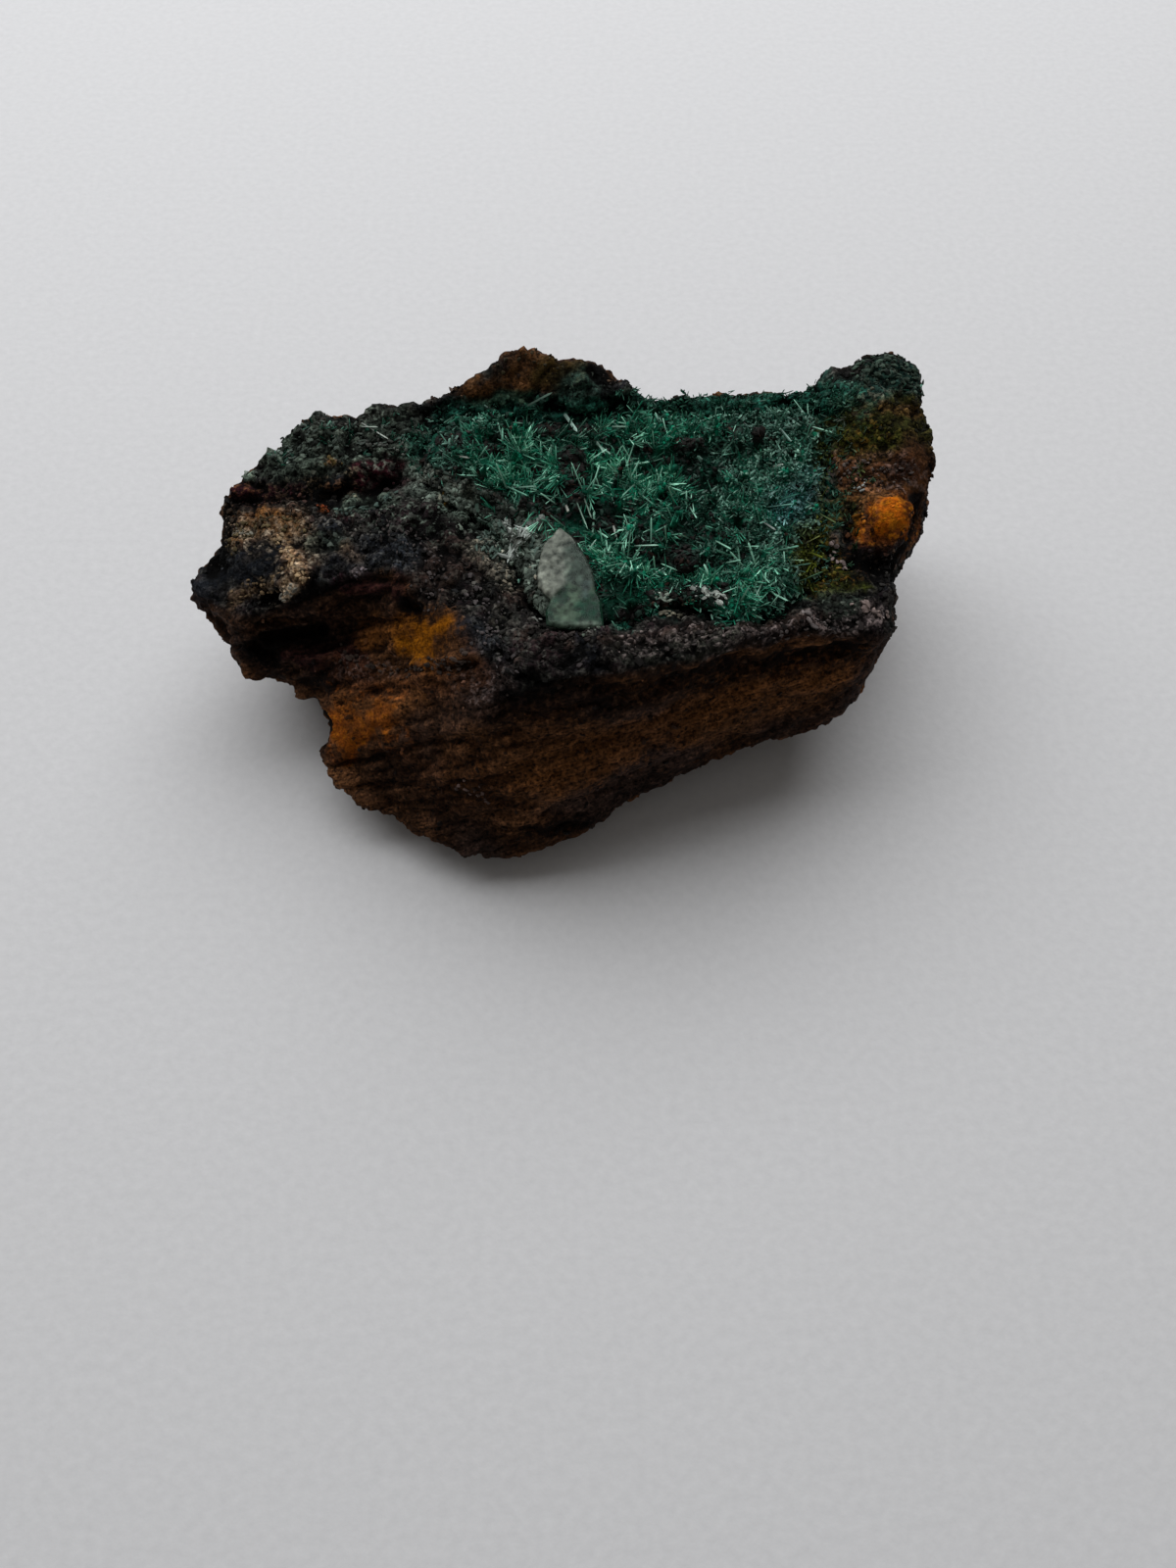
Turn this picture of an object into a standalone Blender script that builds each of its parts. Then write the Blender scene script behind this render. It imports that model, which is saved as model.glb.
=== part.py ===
"""Brochantite specimen: green needle crystals in a hollow of a rusty limonite matrix.

The rock is one closed skin. Its rim, its lower edge and its flat foot are three loops, and
rings of vertices run from a line along the top out to the rim, down the broken wall and under
to the foot. The crystals are one crust that lies in the hollow of the top, and a clear flake
leans on it. Places on the visible side are given as a point of the photograph and a height
above the ground, and a sight line turns the two into metres.
"""

import math

import bmesh
import bpy
import numpy as np
from mathutils import Vector
from mathutils.bvhtree import BVHTree

MM = 0.001

# Crust: its gap to the rock, its thickness inside and at the edge, and the hollow it lies in
CRUST_GAP = 0.35 * MM
CRUST_THICKNESS = 0.95 * MM
CRUST_EDGE_THICKNESS = 0.30 * MM
CRUST_TAPER = 1.4 * MM
CRUST_WAVE = 0.22 * MM
CRUST_WAVE_CELL = 1.5 * MM
HOLLOW_DEPTH = 0.8 * MM
HOLLOW_REACH = 1.0 * MM
HOLLOW_SLOPE = 1.5 * MM

# Needles of the crust: the lean is in radians, the margins keep root and tip off the crust's edge,
# and the room is what is left between the crust's surface and shares of the needle's length
NEEDLE_COUNT = 150
NEEDLE_LENGTH = (0.9 * MM, 1.7 * MM)
NEEDLE_LEAN = (0.15, 1.05)
NEEDLE_FOOT = 0.30 * MM
NEEDLE_FOOT_SHARE = 0.6
NEEDLE_LIFT = 0.15 * MM
NEEDLE_CLEARANCE = 0.55 * MM
NEEDLE_MARGINS = (0.6 * MM, 0.2 * MM)
NEEDLE_ROOM = ((0.35, 0.25 * MM), (0.65, 0.38 * MM), (1.0, 0.55 * MM))

# Flake, and the room that the needles leave round it
FLAKE_THICKNESS = 0.45 * MM
FLAKE_BEVEL = 0.16 * MM
FLAKE_MARGIN = 0.7 * MM

# Rock: the height of its rim where nothing else gives it, the size of its foot, and its hidden wall
RIM_HEIGHT = 12.5 * MM
FOOT_SCALE = 0.70
BACK_BULGE = 0.9 * MM
BACK_WAVE = 0.9 * MM
BACK_WAVE_CELL = 5 * MM
BACK_RAMP = 6
BACK_BELLY_HEIGHT = 5.4 * MM
BACK_BELLY_WAVE = 1.8 * MM

# How the underside curves to the foot, and the undercut lobe at the front left
UNDER_CURVE = 1.6
LOBE_CURVE = 0.4
LOBE_STATION = 4.2
LOBE_REACH = 2.4

# Rough break: cell sizes, and pushes for faces that the eye sees and for faces turned away
COARSE_CELL = 3.6 * MM
COARSE_PUSH = (0.22 * MM, 0.77 * MM)
MEDIUM_CELL = 1.7 * MM
MEDIUM_PUSH = (0.22 * MM, 0.32 * MM)
BEDDING_CELL = 9 * MM
BEDDING_PUSH = (0.20 * MM, 0.55 * MM)
BEDDING_TILT = 0.14
BEDDING_SQUASH = 4.5
TURNED_AWAY = 0.4
FOOT_CALM = 1.5 * MM
LIP_SHARE = 0.42

# The photograph's view: pixels, and metres for the eye's place
PHOTO_MIDDLE = (600.0, 800.0)
FOCAL_PIXELS = 1201.7
VIEW_PITCH = math.radians(62.0)
EYE = np.array([1.48, -39.6, 59.36]) * MM

# In plan: the ends of the line where the top's front and back columns meet, and the foot's middle
TOP_LINE = np.array([[-13.0, 0.0], [12.0, 2.0]]) * MM
FOOT_MIDDLE = np.array([-0.5, -1.5]) * MM

# Mesh density
COLUMNS = 120
RIGHT_END_STATION = 24.8
TOP_RINGS = (0.12, 0.24, 0.36, 0.47, 0.58, 0.68, 0.78, 0.87, 0.945, 1.0)
WALL_RINGS = (0.07, 0.15, 0.25, 0.36, 0.48, 0.60, 0.73, 0.87, 1.0)
UNDER_RINGS = (0.25, 0.50, 0.75, 1.0)
CRUST_STEPS = (38, 16)
SLOPE_STEP = 0.05 * MM

# Rim of the rock, from the nose along the front lip, round the right end and back along the
# far edge: photo x, photo y, height in millimetres
RIM = [
    (192, 600, 8.5), (212, 613, 8.9), (231, 622, 9.2), (256, 629, 9.6), (286, 619, 10.2),
    (318, 607, 10.8), (350, 596, 11.2), (384, 586, 11.6), (420, 597, 12.0), (452, 622, 12.2),
    (480, 655, 12.3), (509, 704, 12.2), (545, 702, 12.5), (578, 692, 12.8), (640, 685, 12.8),
    (700, 672, 12.6), (750, 656, 12.4), (800, 646, 12.1), (850, 645, 11.7), (888, 650, 11.0),
    (909, 643, 10.6), (909, 608, 11.0), (916, 574, 11.3), (922, 542, 11.5), (940, 516, 11.5),
    (953, 480, 11.9), (948, 435, 12.8), (939, 390, 13.7), (920, 363, 14.2), (886, 364, 14.2),
    (866, 379, 13.8), (838, 384, 13.2), (812, 398, 12.8), (774, 402, 12.5), (728, 403, 12.5),
    (688, 406, 12.5), (654, 404, 12.7), (620, 388, 13.4), (602, 370, 14.0), (566, 368, 14.2),
    (530, 357, 14.5), (501, 371, 13.9), (470, 391, 13.1), (440, 402, 12.7), (405, 411, 12.5),
    (371, 420, 12.2), (330, 427, 11.8), (303, 436, 11.5), (279, 457, 11.2), (250, 476, 11.0),
    (226, 514, 10.4), (220, 555, 9.9), (206, 582, 9.2),
]

# Lower edge of the wall under the first stations of the rim, where the photograph shows it
SEEN_BELLY = [
    (204, 616, 6.9), (220, 639, 6.0), (233, 658, 5.4), (241, 680, 5.0), (256, 692, 4.8),
    (290, 692, 4.7), (306, 714, 4.2), (327, 735, 3.7), (329, 778, 3.0), (352, 806, 2.5),
    (399, 831, 2.2), (445, 856, 2.0), (491, 871, 1.8), (543, 871, 1.8), (590, 850, 1.9),
    (649, 811, 2.4), (718, 783, 2.8), (775, 758, 3.2), (836, 738, 3.8), (862, 723, 4.1),
    (884, 702, 4.6), (903, 665, 5.4),
]

# Heights inside the rim: photo x, photo y, height in millimetres
TOP_HEIGHTS = [
    (235, 575, 9.9), (280, 590, 10.5), (270, 530, 10.8), (300, 480, 11.6), (350, 455, 12.2),
    (340, 545, 11.2), (400, 560, 11.8), (380, 500, 11.6), (430, 540, 11.9), (440, 455, 11.9),
    (480, 600, 12.2), (500, 560, 11.9), (540, 670, 12.7), (500, 470, 11.4), (560, 440, 11.8),
    (530, 402, 12.9), (495, 408, 12.6), (600, 408, 12.8), (600, 480, 11.0), (560, 560, 11.2),
    (620, 560, 10.9), (600, 655, 12.5), (660, 650, 12.4), (650, 430, 11.9), (700, 500, 11.2),
    (700, 590, 11.6), (740, 640, 12.3), (780, 440, 12.1), (790, 540, 11.7), (800, 620, 12.0),
    (850, 600, 11.8), (880, 625, 11.5), (860, 500, 12.2), (900, 410, 13.9), (900, 480, 12.6),
    (880, 560, 11.8), (850, 415, 13.0),
]

# Lumps and pits of the rock: photo x, photo y, radii in millimetres, push in millimetres
BOSSES = [
    (530, 378, (1.7, 1.4, 1.4), 0.10),
    (600, 396, (1.3, 1.1, 1.2), 0.25),
    (634, 396, (0.8, 0.8, 0.8), 0.35),
    (698, 409, (0.8, 0.7, 0.7), 0.30),
    (470, 398, (1.0, 0.8, 0.8), 0.25),
    (905, 378, (1.5, 1.2, 1.3), 0.45),
    (850, 388, (1.0, 0.9, 0.9), 0.30),
    (928, 470, (1.0, 1.6, 1.4), 0.35),
    (903, 535, (1.4, 1.3, 1.4), 0.85),
    (908, 574, (1.1, 0.9, 1.2), -0.85),
    (895, 622, (1.2, 0.9, 0.9), 0.40),
    (215, 600, (1.3, 1.1, 1.1), 0.30),
    (268, 566, (1.5, 1.3, 1.0), 0.45),
    (300, 590, (1.4, 1.0, 0.9), 0.30),
    (330, 450, (1.8, 1.0, 0.9), 0.35),
    (262, 672, (1.6, 1.2, 1.2), 0.50),
    (278, 636, (0.9, 0.9, 0.7), -0.60),
    (350, 646, (3.4, 1.5, 1.2), -1.15),
    (420, 640, (1.6, 1.4, 1.3), -0.45),
    (365, 745, (2.0, 1.5, 1.5), 0.45),
    (470, 730, (2.6, 2.0, 1.8), 0.35),
    (560, 850, (2.6, 1.6, 1.2), 0.15),
    (300, 704, (1.5, 1.5, 1.5), -1.00),
    (820, 700, (2.2, 1.6, 1.4), -0.35),
    (700, 740, (3.4, 2.0, 1.5), 0.20),
]

# Ledges and grooves of the bedding: photo points along the line, radius and push in millimetres
LEDGES = [
    ([(300, 688), (350, 684), (410, 680), (470, 676)], 0.75, 0.45),
    ([(520, 722), (580, 712), (650, 702), (720, 690), (790, 672), (860, 664), (900, 660)],
     0.75, -0.75),
    ([(450, 760), (520, 748), (600, 752), (700, 724)], 0.8, -0.30),
    ([(335, 786), (380, 778), (430, 770), (480, 758)], 0.7, -0.45),
    ([(560, 796), (640, 768), (740, 730), (840, 694)], 1.1, 0.40),
    ([(530, 676), (600, 668), (680, 654), (750, 645)], 0.9, 0.35),
    ([(250, 505), (300, 495), (360, 492), (410, 482)], 0.9, -0.50),
    ([(300, 560), (350, 545), (400, 530)], 1.0, 0.25),
]

# Edges of the crust from left to right, and the knobs of matrix grains that it covers
CRUST_FRONT = [
    (424, 468), (436, 492), (462, 515), (498, 536), (520, 572), (536, 608), (562, 634), (600, 638),
    (645, 632), (690, 614), (735, 627), (775, 630), (806, 614), (832, 588),
]
CRUST_BACK = [
    (436, 438), (466, 424), (500, 420), (535, 424), (565, 428), (600, 430), (632, 420), (668, 424),
    (705, 424), (745, 420), (785, 418), (820, 420), (846, 436),
]
CRUST_KNOBS = [
    (585, 490, 1.0, 0.55), (690, 575, 1.1, 0.50), (620, 535, 0.7, 0.40), (760, 440, 1.3, 0.45),
    (660, 470, 1.5, 0.35), (790, 520, 1.5, 0.35), (500, 490, 1.2, 0.30),
]

# Outline of the clear flake, and the heights of its tip and its foot
FLAKE_OUTLINE = [
    (571, 537), (582, 545), (593, 558), (601, 571), (606, 582), (608, 600), (614, 612), (617, 640),
    (582, 641), (557, 637), (556, 622), (562, 611), (548, 598), (548, 580), (553, 557),
]
FLAKE_TIP = (571, 537, 13.3)
FLAKE_FOOT = (588, 640, 12.95)

# Colour, roughness and metallic value of each piece
FINISHES = {
    "matrix": ((0.045, 0.028, 0.018), 0.85, 0.0),
    "brochantite_crust": ((0.012, 0.135, 0.085), 0.35, 0.0),
    "clear_flake": ((0.62, 0.72, 0.66), 0.12, 0.0),
}

BREAK_SEED = 11
NEEDLE_SEED = 23
LATTICE = 24


def sight_line(px, py):
    """The direction from the eye through a point of the photograph."""
    right = np.array([1.0, 0.0, 0.0])
    up = np.array([0.0, math.sin(VIEW_PITCH), math.cos(VIEW_PITCH)])
    forward = np.array([0.0, math.cos(VIEW_PITCH), -math.sin(VIEW_PITCH)])
    across = (px - PHOTO_MIDDLE[0]) / FOCAL_PIXELS
    down = (py - PHOTO_MIDDLE[1]) / FOCAL_PIXELS
    return across * right - down * up + forward


def at_height(px, py, height):
    """The place at a height in metres that lies behind a point of the photograph."""
    line = sight_line(px, py)
    return EYE + line * (height - EYE[2]) / line[2]


def places(stations):
    """The places of stations whose heights are in millimetres."""
    return np.array([at_height(px, py, height * MM) for px, py, height in stations])


def smooth_loop(points, stations):
    """The closed Catmull-Rom curve through the points, read at fractional station numbers."""
    first = np.floor(stations).astype(int)
    t = (stations - first)[:, None]
    before, here, after, beyond = (points[(first + k) % len(points)] for k in (-1, 0, 1, 2))
    bend = 2 * before - 5 * here + 4 * after - beyond
    twist = 3 * (here - after) + beyond - before
    return 0.5 * (2 * here + (after - before) * t + bend * t**2 + twist * t**3)


def even_stations(points, start, end, count):
    """Station numbers that are evenly spaced along a closed loop's length, from start up to end."""
    fine = np.linspace(start, end, len(points) * 16)
    curve = smooth_loop(points, fine)
    travelled = np.r_[0, np.cumsum(np.linalg.norm(np.diff(curve, axis=0), axis=1))]
    return np.interp(np.linspace(0, travelled[-1], count, endpoint=False), travelled, fine)


def open_curve(points, count):
    """A smooth open curve through the points, read evenly along its length."""
    ends = np.vstack([2 * points[0] - points[1], points, 2 * points[-1] - points[-2]])
    fine = np.linspace(1, len(points), len(points) * 16)
    curve = smooth_loop(ends, np.minimum(fine, len(points) - 1e-6))
    travelled = np.r_[0, np.cumsum(np.linalg.norm(np.diff(curve, axis=0), axis=1))]
    even = np.linspace(0, travelled[-1], count)
    return np.stack([np.interp(even, travelled, curve[:, k]) for k in range(curve.shape[1])], 1)


def plate_term(one, other):
    """The thin plate's r squared times log r between two sets of plan places."""
    square = ((one[:, None] - other[None]) ** 2).sum(-1)
    return 0.5 * square * np.log(square + 1e-12)


def thin_plate(points):
    """A function of plan places: the smooth sheet that passes through the points."""
    plan = points[:, :2] / MM
    count = len(plan)
    tilt = np.c_[np.ones(count), plan]
    system = np.zeros((count + 3, count + 3))
    system[:count, :count] = plate_term(plan, plan)
    system[:count, count:] = tilt
    system[count:, :count] = tilt.T
    weights = np.linalg.solve(system, np.r_[points[:, 2], np.zeros(3)])

    def height(where):
        flat = where / MM
        tilted = np.c_[np.ones(len(flat)), flat] @ weights[count:]
        return plate_term(flat, plan) @ weights[:count] + tilted

    return height


def inside_distance(where, outline):
    """The distance to a closed plan outline, positive inside it."""
    start, end = outline, np.roll(outline, -1, axis=0)
    along = end - start
    offset = where[:, None] - start[None]
    t = np.clip((offset * along).sum(-1) / (along**2).sum(-1), 0, 1)
    distance = np.linalg.norm(offset - t[..., None] * along, axis=-1).min(axis=1)
    rises = (start[:, 1] > where[:, None, 1]) != (end[:, 1] > where[:, None, 1])
    reach = start[:, 0] + (where[:, None, 1] - start[:, 1]) * along[:, 0] / (along[:, 1] + 1e-15)
    inside = (rises & (where[:, None, 0] < reach)).sum(axis=1) % 2 == 1
    return np.where(inside, distance, -distance)


def smooth_step(value):
    """Zero below 0, one above 1 and a smooth rise between them."""
    value = np.clip(value, 0, 1)
    return value * value * (3 - 2 * value)


def lattice_noise(points, cell, seed):
    """Seeded noise from -1 to 1: random values on a lattice, blended smoothly between its points."""
    table = np.random.default_rng(seed).uniform(-1, 1, (LATTICE, LATTICE, LATTICE))
    scaled = points / cell
    corner = np.floor(scaled).astype(int)
    blend = smooth_step(scaled - corner)
    total = np.zeros(len(points))
    for step in np.ndindex(2, 2, 2):
        weight = np.prod(np.where(step, blend, 1 - blend), axis=1)
        total += weight * table[tuple(((corner + step) % LATTICE).T)]
    return total


def top_place(height, px, py):
    """The place on the top's sheet behind a point of the photograph, closed in on in a few steps."""
    spot = at_height(px, py, RIM_HEIGHT)
    for _ in range(8):
        spot = at_height(px, py, height(spot[None, :2])[0])
    return spot


def crust_side(sheet, points):
    """One edge of the crust in plan, from its points of the photograph."""
    plan = np.array([top_place(sheet, px, py)[:2] for px, py in points])
    return open_curve(plan, CRUST_STEPS[0] + 1)


def rock_top():
    """The top as a function of plan places, with the crust's hollow in it, and the crust's edges."""
    sheet = thin_plate(np.vstack([places(RIM), places(TOP_HEIGHTS)]))
    front = crust_side(sheet, CRUST_FRONT)
    back = crust_side(sheet, CRUST_BACK)
    outline = np.vstack([front, back[::-1]])

    def height(where):
        depth = smooth_step((inside_distance(where, outline) + HOLLOW_REACH) / HOLLOW_SLOPE)
        return sheet(where) - HOLLOW_DEPTH * depth

    return height, front, back, outline


def lower_edge(rim):
    """The wall's lower edge: read from the photograph at the front, and under the rim elsewhere."""
    seen = places(SEEN_BELLY)
    hidden = rim[len(seen):].copy()
    outwards = hidden[:, :2] - TOP_LINE.mean(axis=0)
    outwards /= np.linalg.norm(outwards, axis=1)[:, None]
    wave = lattice_noise(hidden, BACK_WAVE_CELL, BREAK_SEED)
    station = np.arange(len(hidden))
    ramp = smooth_step(np.minimum(station, len(hidden) - 1 - station) / BACK_RAMP)
    hidden[:, :2] += outwards * ((BACK_BULGE + BACK_WAVE * wave) * ramp)[:, None]
    hidden[:, 2] = BACK_BELLY_HEIGHT + BACK_BELLY_WAVE * wave
    return np.vstack([seen, hidden])


def top_line(height):
    """The vertices where the top's front and back columns meet, from the nose to the right end."""
    share = np.linspace(0, 1, COLUMNS // 2 + 1)[:, None]
    plan = TOP_LINE[0] + (TOP_LINE[1] - TOP_LINE[0]) * share
    return np.c_[plan, height(plan)]


def line_number(column):
    """The top line's vertex where a column starts: a front and a back column share it."""
    return np.minimum(column % COLUMNS, -column % COLUMNS)


def rock_rings(height, line):
    """Rings of vertices from near the top's line over the rim and down to the foot."""
    rim = places(RIM)
    belly = lower_edge(rim)
    between = (rim + belly) / 2
    front = even_stations(between, 0, RIGHT_END_STATION, COLUMNS // 2)
    back = even_stations(between, RIGHT_END_STATION, len(rim), COLUMNS // 2)
    stations = np.r_[front, back]
    rim_loop = smooth_loop(rim, stations)
    rim_loop[:, 2] = height(rim_loop[:, :2])
    belly_loop = smooth_loop(belly, stations)
    foot_plan = FOOT_MIDDLE + (belly_loop[:, :2] - FOOT_MIDDLE) * FOOT_SCALE
    foot_loop = np.c_[foot_plan, np.zeros(COLUMNS)]
    rings = []
    start = line[line_number(np.arange(COLUMNS)), :2]
    for t in TOP_RINGS:
        plan = start + (rim_loop[:, :2] - start) * t
        rings.append(np.c_[plan, height(plan)])
    for s in WALL_RINGS:
        rings.append(rim_loop + (belly_loop - rim_loop) * s)
    undercut = np.exp(-(((stations - LOBE_STATION) / LOBE_REACH) ** 2))
    curve = UNDER_CURVE - (UNDER_CURVE - LOBE_CURVE) * undercut
    for s in UNDER_RINGS:
        ring = belly_loop + (foot_loop - belly_loop) * s
        ring[:, 2] = belly_loop[:, 2] * (1 - s) ** curve
        rings.append(ring)
    return np.array(rings)


def ring_normals(rings):
    """Outward directions at the vertices of the rings."""
    down = np.gradient(rings, axis=0)
    around = np.roll(rings, -1, axis=1) - np.roll(rings, 1, axis=1)
    normals = np.cross(down, around)
    return normals / np.linalg.norm(normals, axis=2)[..., None]


def rock_faces(ring_count):
    """Quads from the top's line to the first ring and between the rings, and a fan on the foot."""
    line_count = COLUMNS // 2 + 1
    column = np.arange(COLUMNS)
    after = (column + 1) % COLUMNS
    rows = [line_number(column)]
    rows += [line_count + ring * COLUMNS + column for ring in range(ring_count)]
    quads = []
    for upper, lower in zip(rows, rows[1:]):
        quads += np.stack([upper[column], lower[column], lower[after], upper[after]], 1).tolist()
    foot = line_count + ring_count * COLUMNS
    fan = np.stack([np.full(COLUMNS, foot), rows[-1][after], rows[-1][column]], 1).tolist()
    return quads + fan


def push_field(points, sight):
    """How far the lumps, pits, ledges and grooves move each point outwards."""
    push = np.zeros(len(points))
    for px, py, radii, height in BOSSES:
        apart = (points - sight(px, py)) / (np.array(radii) * MM)
        push += height * MM * np.exp(-(apart**2).sum(axis=1))
    for line, radius, height in LEDGES:
        corners = np.array([sight(px, py) for px, py in line])
        start, along = corners[:-1], np.diff(corners, axis=0)
        offset = points[:, None] - start[None]
        t = np.clip((offset * along).sum(-1) / (along**2).sum(-1), 0, 1)
        nearest = np.linalg.norm(offset - t[..., None] * along, axis=-1).min(axis=1)
        push += height * MM * np.exp(-((nearest / (radius * MM)) ** 2))
    return push


def push_for(pushes, turned_away):
    """A push that grows from the seen faces' value to the turned-away faces' value."""
    return pushes[0] + (pushes[1] - pushes[0]) * turned_away


def broken_face(points, normals):
    """The rough break of the rock: lumps, finer lumps and bedding, coarser where the eye can't see."""
    to_eye = EYE - points
    to_eye /= np.linalg.norm(to_eye, axis=1)[:, None]
    away = smooth_step(-(normals * to_eye).sum(axis=1) / TURNED_AWAY)
    layers = points.copy()
    layers[:, 2] = (points[:, 2] - BEDDING_TILT * points[:, 0]) * BEDDING_SQUASH
    coarse = lattice_noise(points, COARSE_CELL, BREAK_SEED + 1) * push_for(COARSE_PUSH, away)
    medium = lattice_noise(points, MEDIUM_CELL, BREAK_SEED + 2) * push_for(MEDIUM_PUSH, away)
    bedding = lattice_noise(layers, BEDDING_CELL, BREAK_SEED + 3) * push_for(BEDDING_PUSH, away)
    return coarse + medium + bedding


def matrix_mesh(height, outline):
    """The rock's vertices and faces."""
    line = top_line(height)
    rings = rock_rings(height, line)
    points = np.vstack([line, rings.reshape(-1, 3), [*FOOT_MIDDLE, 0.0]])
    line_normals = sheet_normals(height, line[:, :2])
    normals = np.vstack([line_normals, ring_normals(rings).reshape(-1, 3), [0, 0, -1]])
    faces = rock_faces(len(rings))
    tree = BVHTree.FromPolygons(points.tolist(), faces)

    def sight(px, py):
        hit = tree.ray_cast(Vector(EYE), Vector(sight_line(px, py)).normalized())[0]
        if hit is None:
            hit = tree.find_nearest(Vector(at_height(px, py, RIM_HEIGHT)))[0]
        return np.array(hit)

    on_top = len(line) + len(TOP_RINGS) * COLUMNS
    freedom = smooth_step(points[:, 2] / FOOT_CALM)
    freedom[:on_top] = smooth_step(-inside_distance(points[:on_top, :2], outline) / HOLLOW_REACH)
    lip = np.ones(len(points))
    for ring, s in enumerate(WALL_RINGS):
        lip[on_top + ring * COLUMNS:on_top + (ring + 1) * COLUMNS] = smooth_step(s / LIP_SHARE)
    push = push_field(points, sight) + broken_face(points, normals)
    push = np.where(push < 0, push * lip, push) * freedom
    return points + normals * push[:, None], faces


def sheet_normals(height, plan):
    """Upward directions of the top at plan places, from its slopes."""
    step_x, step_y = np.eye(2) * SLOPE_STEP
    slope_x = (height(plan + step_x) - height(plan - step_x)) / (2 * SLOPE_STEP)
    slope_y = (height(plan + step_y) - height(plan - step_y)) / (2 * SLOPE_STEP)
    normals = np.c_[-slope_x, -slope_y, np.ones(len(plan))]
    return normals / np.linalg.norm(normals, axis=1)[:, None]


def crust_thickness(height, plan, outline):
    """The crust's thickness: thin at its edge, uneven inside and thicker over the knobs."""
    depth = inside_distance(plan, outline)
    rise = smooth_step(depth / CRUST_TAPER)
    thickness = CRUST_EDGE_THICKNESS + (CRUST_THICKNESS - CRUST_EDGE_THICKNESS) * rise
    spots = np.c_[plan, np.zeros(len(plan))]
    thickness += rise * lattice_noise(spots, CRUST_WAVE_CELL, NEEDLE_SEED) * CRUST_WAVE
    for px, py, radius, lift in CRUST_KNOBS:
        apart = np.linalg.norm(plan - top_place(height, px, py)[:2], axis=1) / (radius * MM)
        thickness += rise * lift * MM * np.exp(-(apart**2))
    return thickness


def crust_sheets(height, front, back, outline):
    """The crust's upper and lower vertices on a grid that runs from its front to its back edge."""
    across = np.linspace(0, 1, CRUST_STEPS[1] + 1)[None, :, None]
    plan = (front[:, None] * (1 - across) + back[:, None] * across).reshape(-1, 2)
    ground = np.c_[plan, height(plan)]
    normals = sheet_normals(height, plan)
    lower = ground + normals * CRUST_GAP
    upper = lower + normals * crust_thickness(height, plan, outline)[:, None]
    return upper, lower


def flake_plan():
    """The flake's outline on the tilted plane through its foot and its tip."""
    foot = at_height(*FLAKE_FOOT[:2], FLAKE_FOOT[2] * MM)
    tip = at_height(*FLAKE_TIP[:2], FLAKE_TIP[2] * MM)
    normal = np.cross([1.0, 0.0, 0.0], tip - foot)
    normal /= np.linalg.norm(normal)
    corners = []
    for px, py in FLAKE_OUTLINE:
        line = sight_line(px, py)
        corners.append(EYE + line * ((foot - EYE) @ normal) / (line @ normal))
    return np.array(corners), normal


def segment_gap(start, end, starts, ends):
    """The smallest distance between one needle and the needles already placed, on sampled points."""
    steps = np.linspace(0, 1, 11)[:, None]
    mine = start + (end - start) * steps
    theirs = starts[:, None] + (ends - starts)[:, None] * steps
    return np.linalg.norm(mine[None, :, None] - theirs[:, None], axis=-1).min()


def leaning(normal, chance):
    """A seeded direction that leans away from a face's normal."""
    lean = chance.uniform(*NEEDLE_LEAN)
    side = np.cross(normal, chance.normal(size=3))
    return normal * math.cos(lean) + side / np.linalg.norm(side) * math.sin(lean)


def stands_free(tree, start, direction, length):
    """Whether a needle keeps clear of the crust's own surface."""
    if tree.ray_cast(Vector(start), Vector(direction), length)[0] is not None:
        return False
    spots = [(start + direction * length * share, room) for share, room in NEEDLE_ROOM]
    return all(tree.find_nearest(Vector(spot))[3] > room for spot, room in spots)


def narrow_width(face):
    """The width of a face across its longest edge."""
    return face.calc_area() / max(edge.calc_length() for edge in face.edges)


def grow_needles(mesh, faces, outline, shade):
    """Needles fused to the crust: a small foot set in a face, drawn out to a leaning point."""
    chance = np.random.default_rng(NEEDLE_SEED)
    tree = BVHTree.FromBMesh(mesh)
    starts, tips, chosen = [], [], []
    taken = set()
    for index in chance.permutation(len(faces)):
        face = faces[index]
        normal = np.array(face.normal)
        direction = leaning(normal, chance)
        length = chance.uniform(*NEEDLE_LENGTH)
        start = np.array(face.calc_center_median()) + normal * NEEDLE_LIFT
        tip = start + direction * length
        ends = np.array([start, tip])[:, :2]
        roomy = narrow_width(face) > NEEDLE_FOOT
        inner = (inside_distance(ends, outline) > NEEDLE_MARGINS).all()
        shaded = (inside_distance(ends, shade) > -FLAKE_MARGIN).any()
        if not (roomy and inner) or shaded or not taken.isdisjoint(face.edges):
            continue
        if not stands_free(tree, start, direction, length):
            continue
        if starts and segment_gap(start, tip, np.array(starts), np.array(tips)) < NEEDLE_CLEARANCE:
            continue
        starts.append(start)
        tips.append(tip)
        chosen.append(face)
        taken.update(face.edges)
        if len(chosen) == NEEDLE_COUNT:
            break
    for face, tip in zip(chosen, tips):
        width = narrow_width(face)
        foot = min(NEEDLE_FOOT, NEEDLE_FOOT_SHARE * width)
        bmesh.ops.inset_individual(mesh, faces=[face], thickness=(width - foot) / 2)
        peak = bmesh.ops.poke(mesh, faces=[face])["verts"][0]
        peak.co = Vector(tip)


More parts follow.
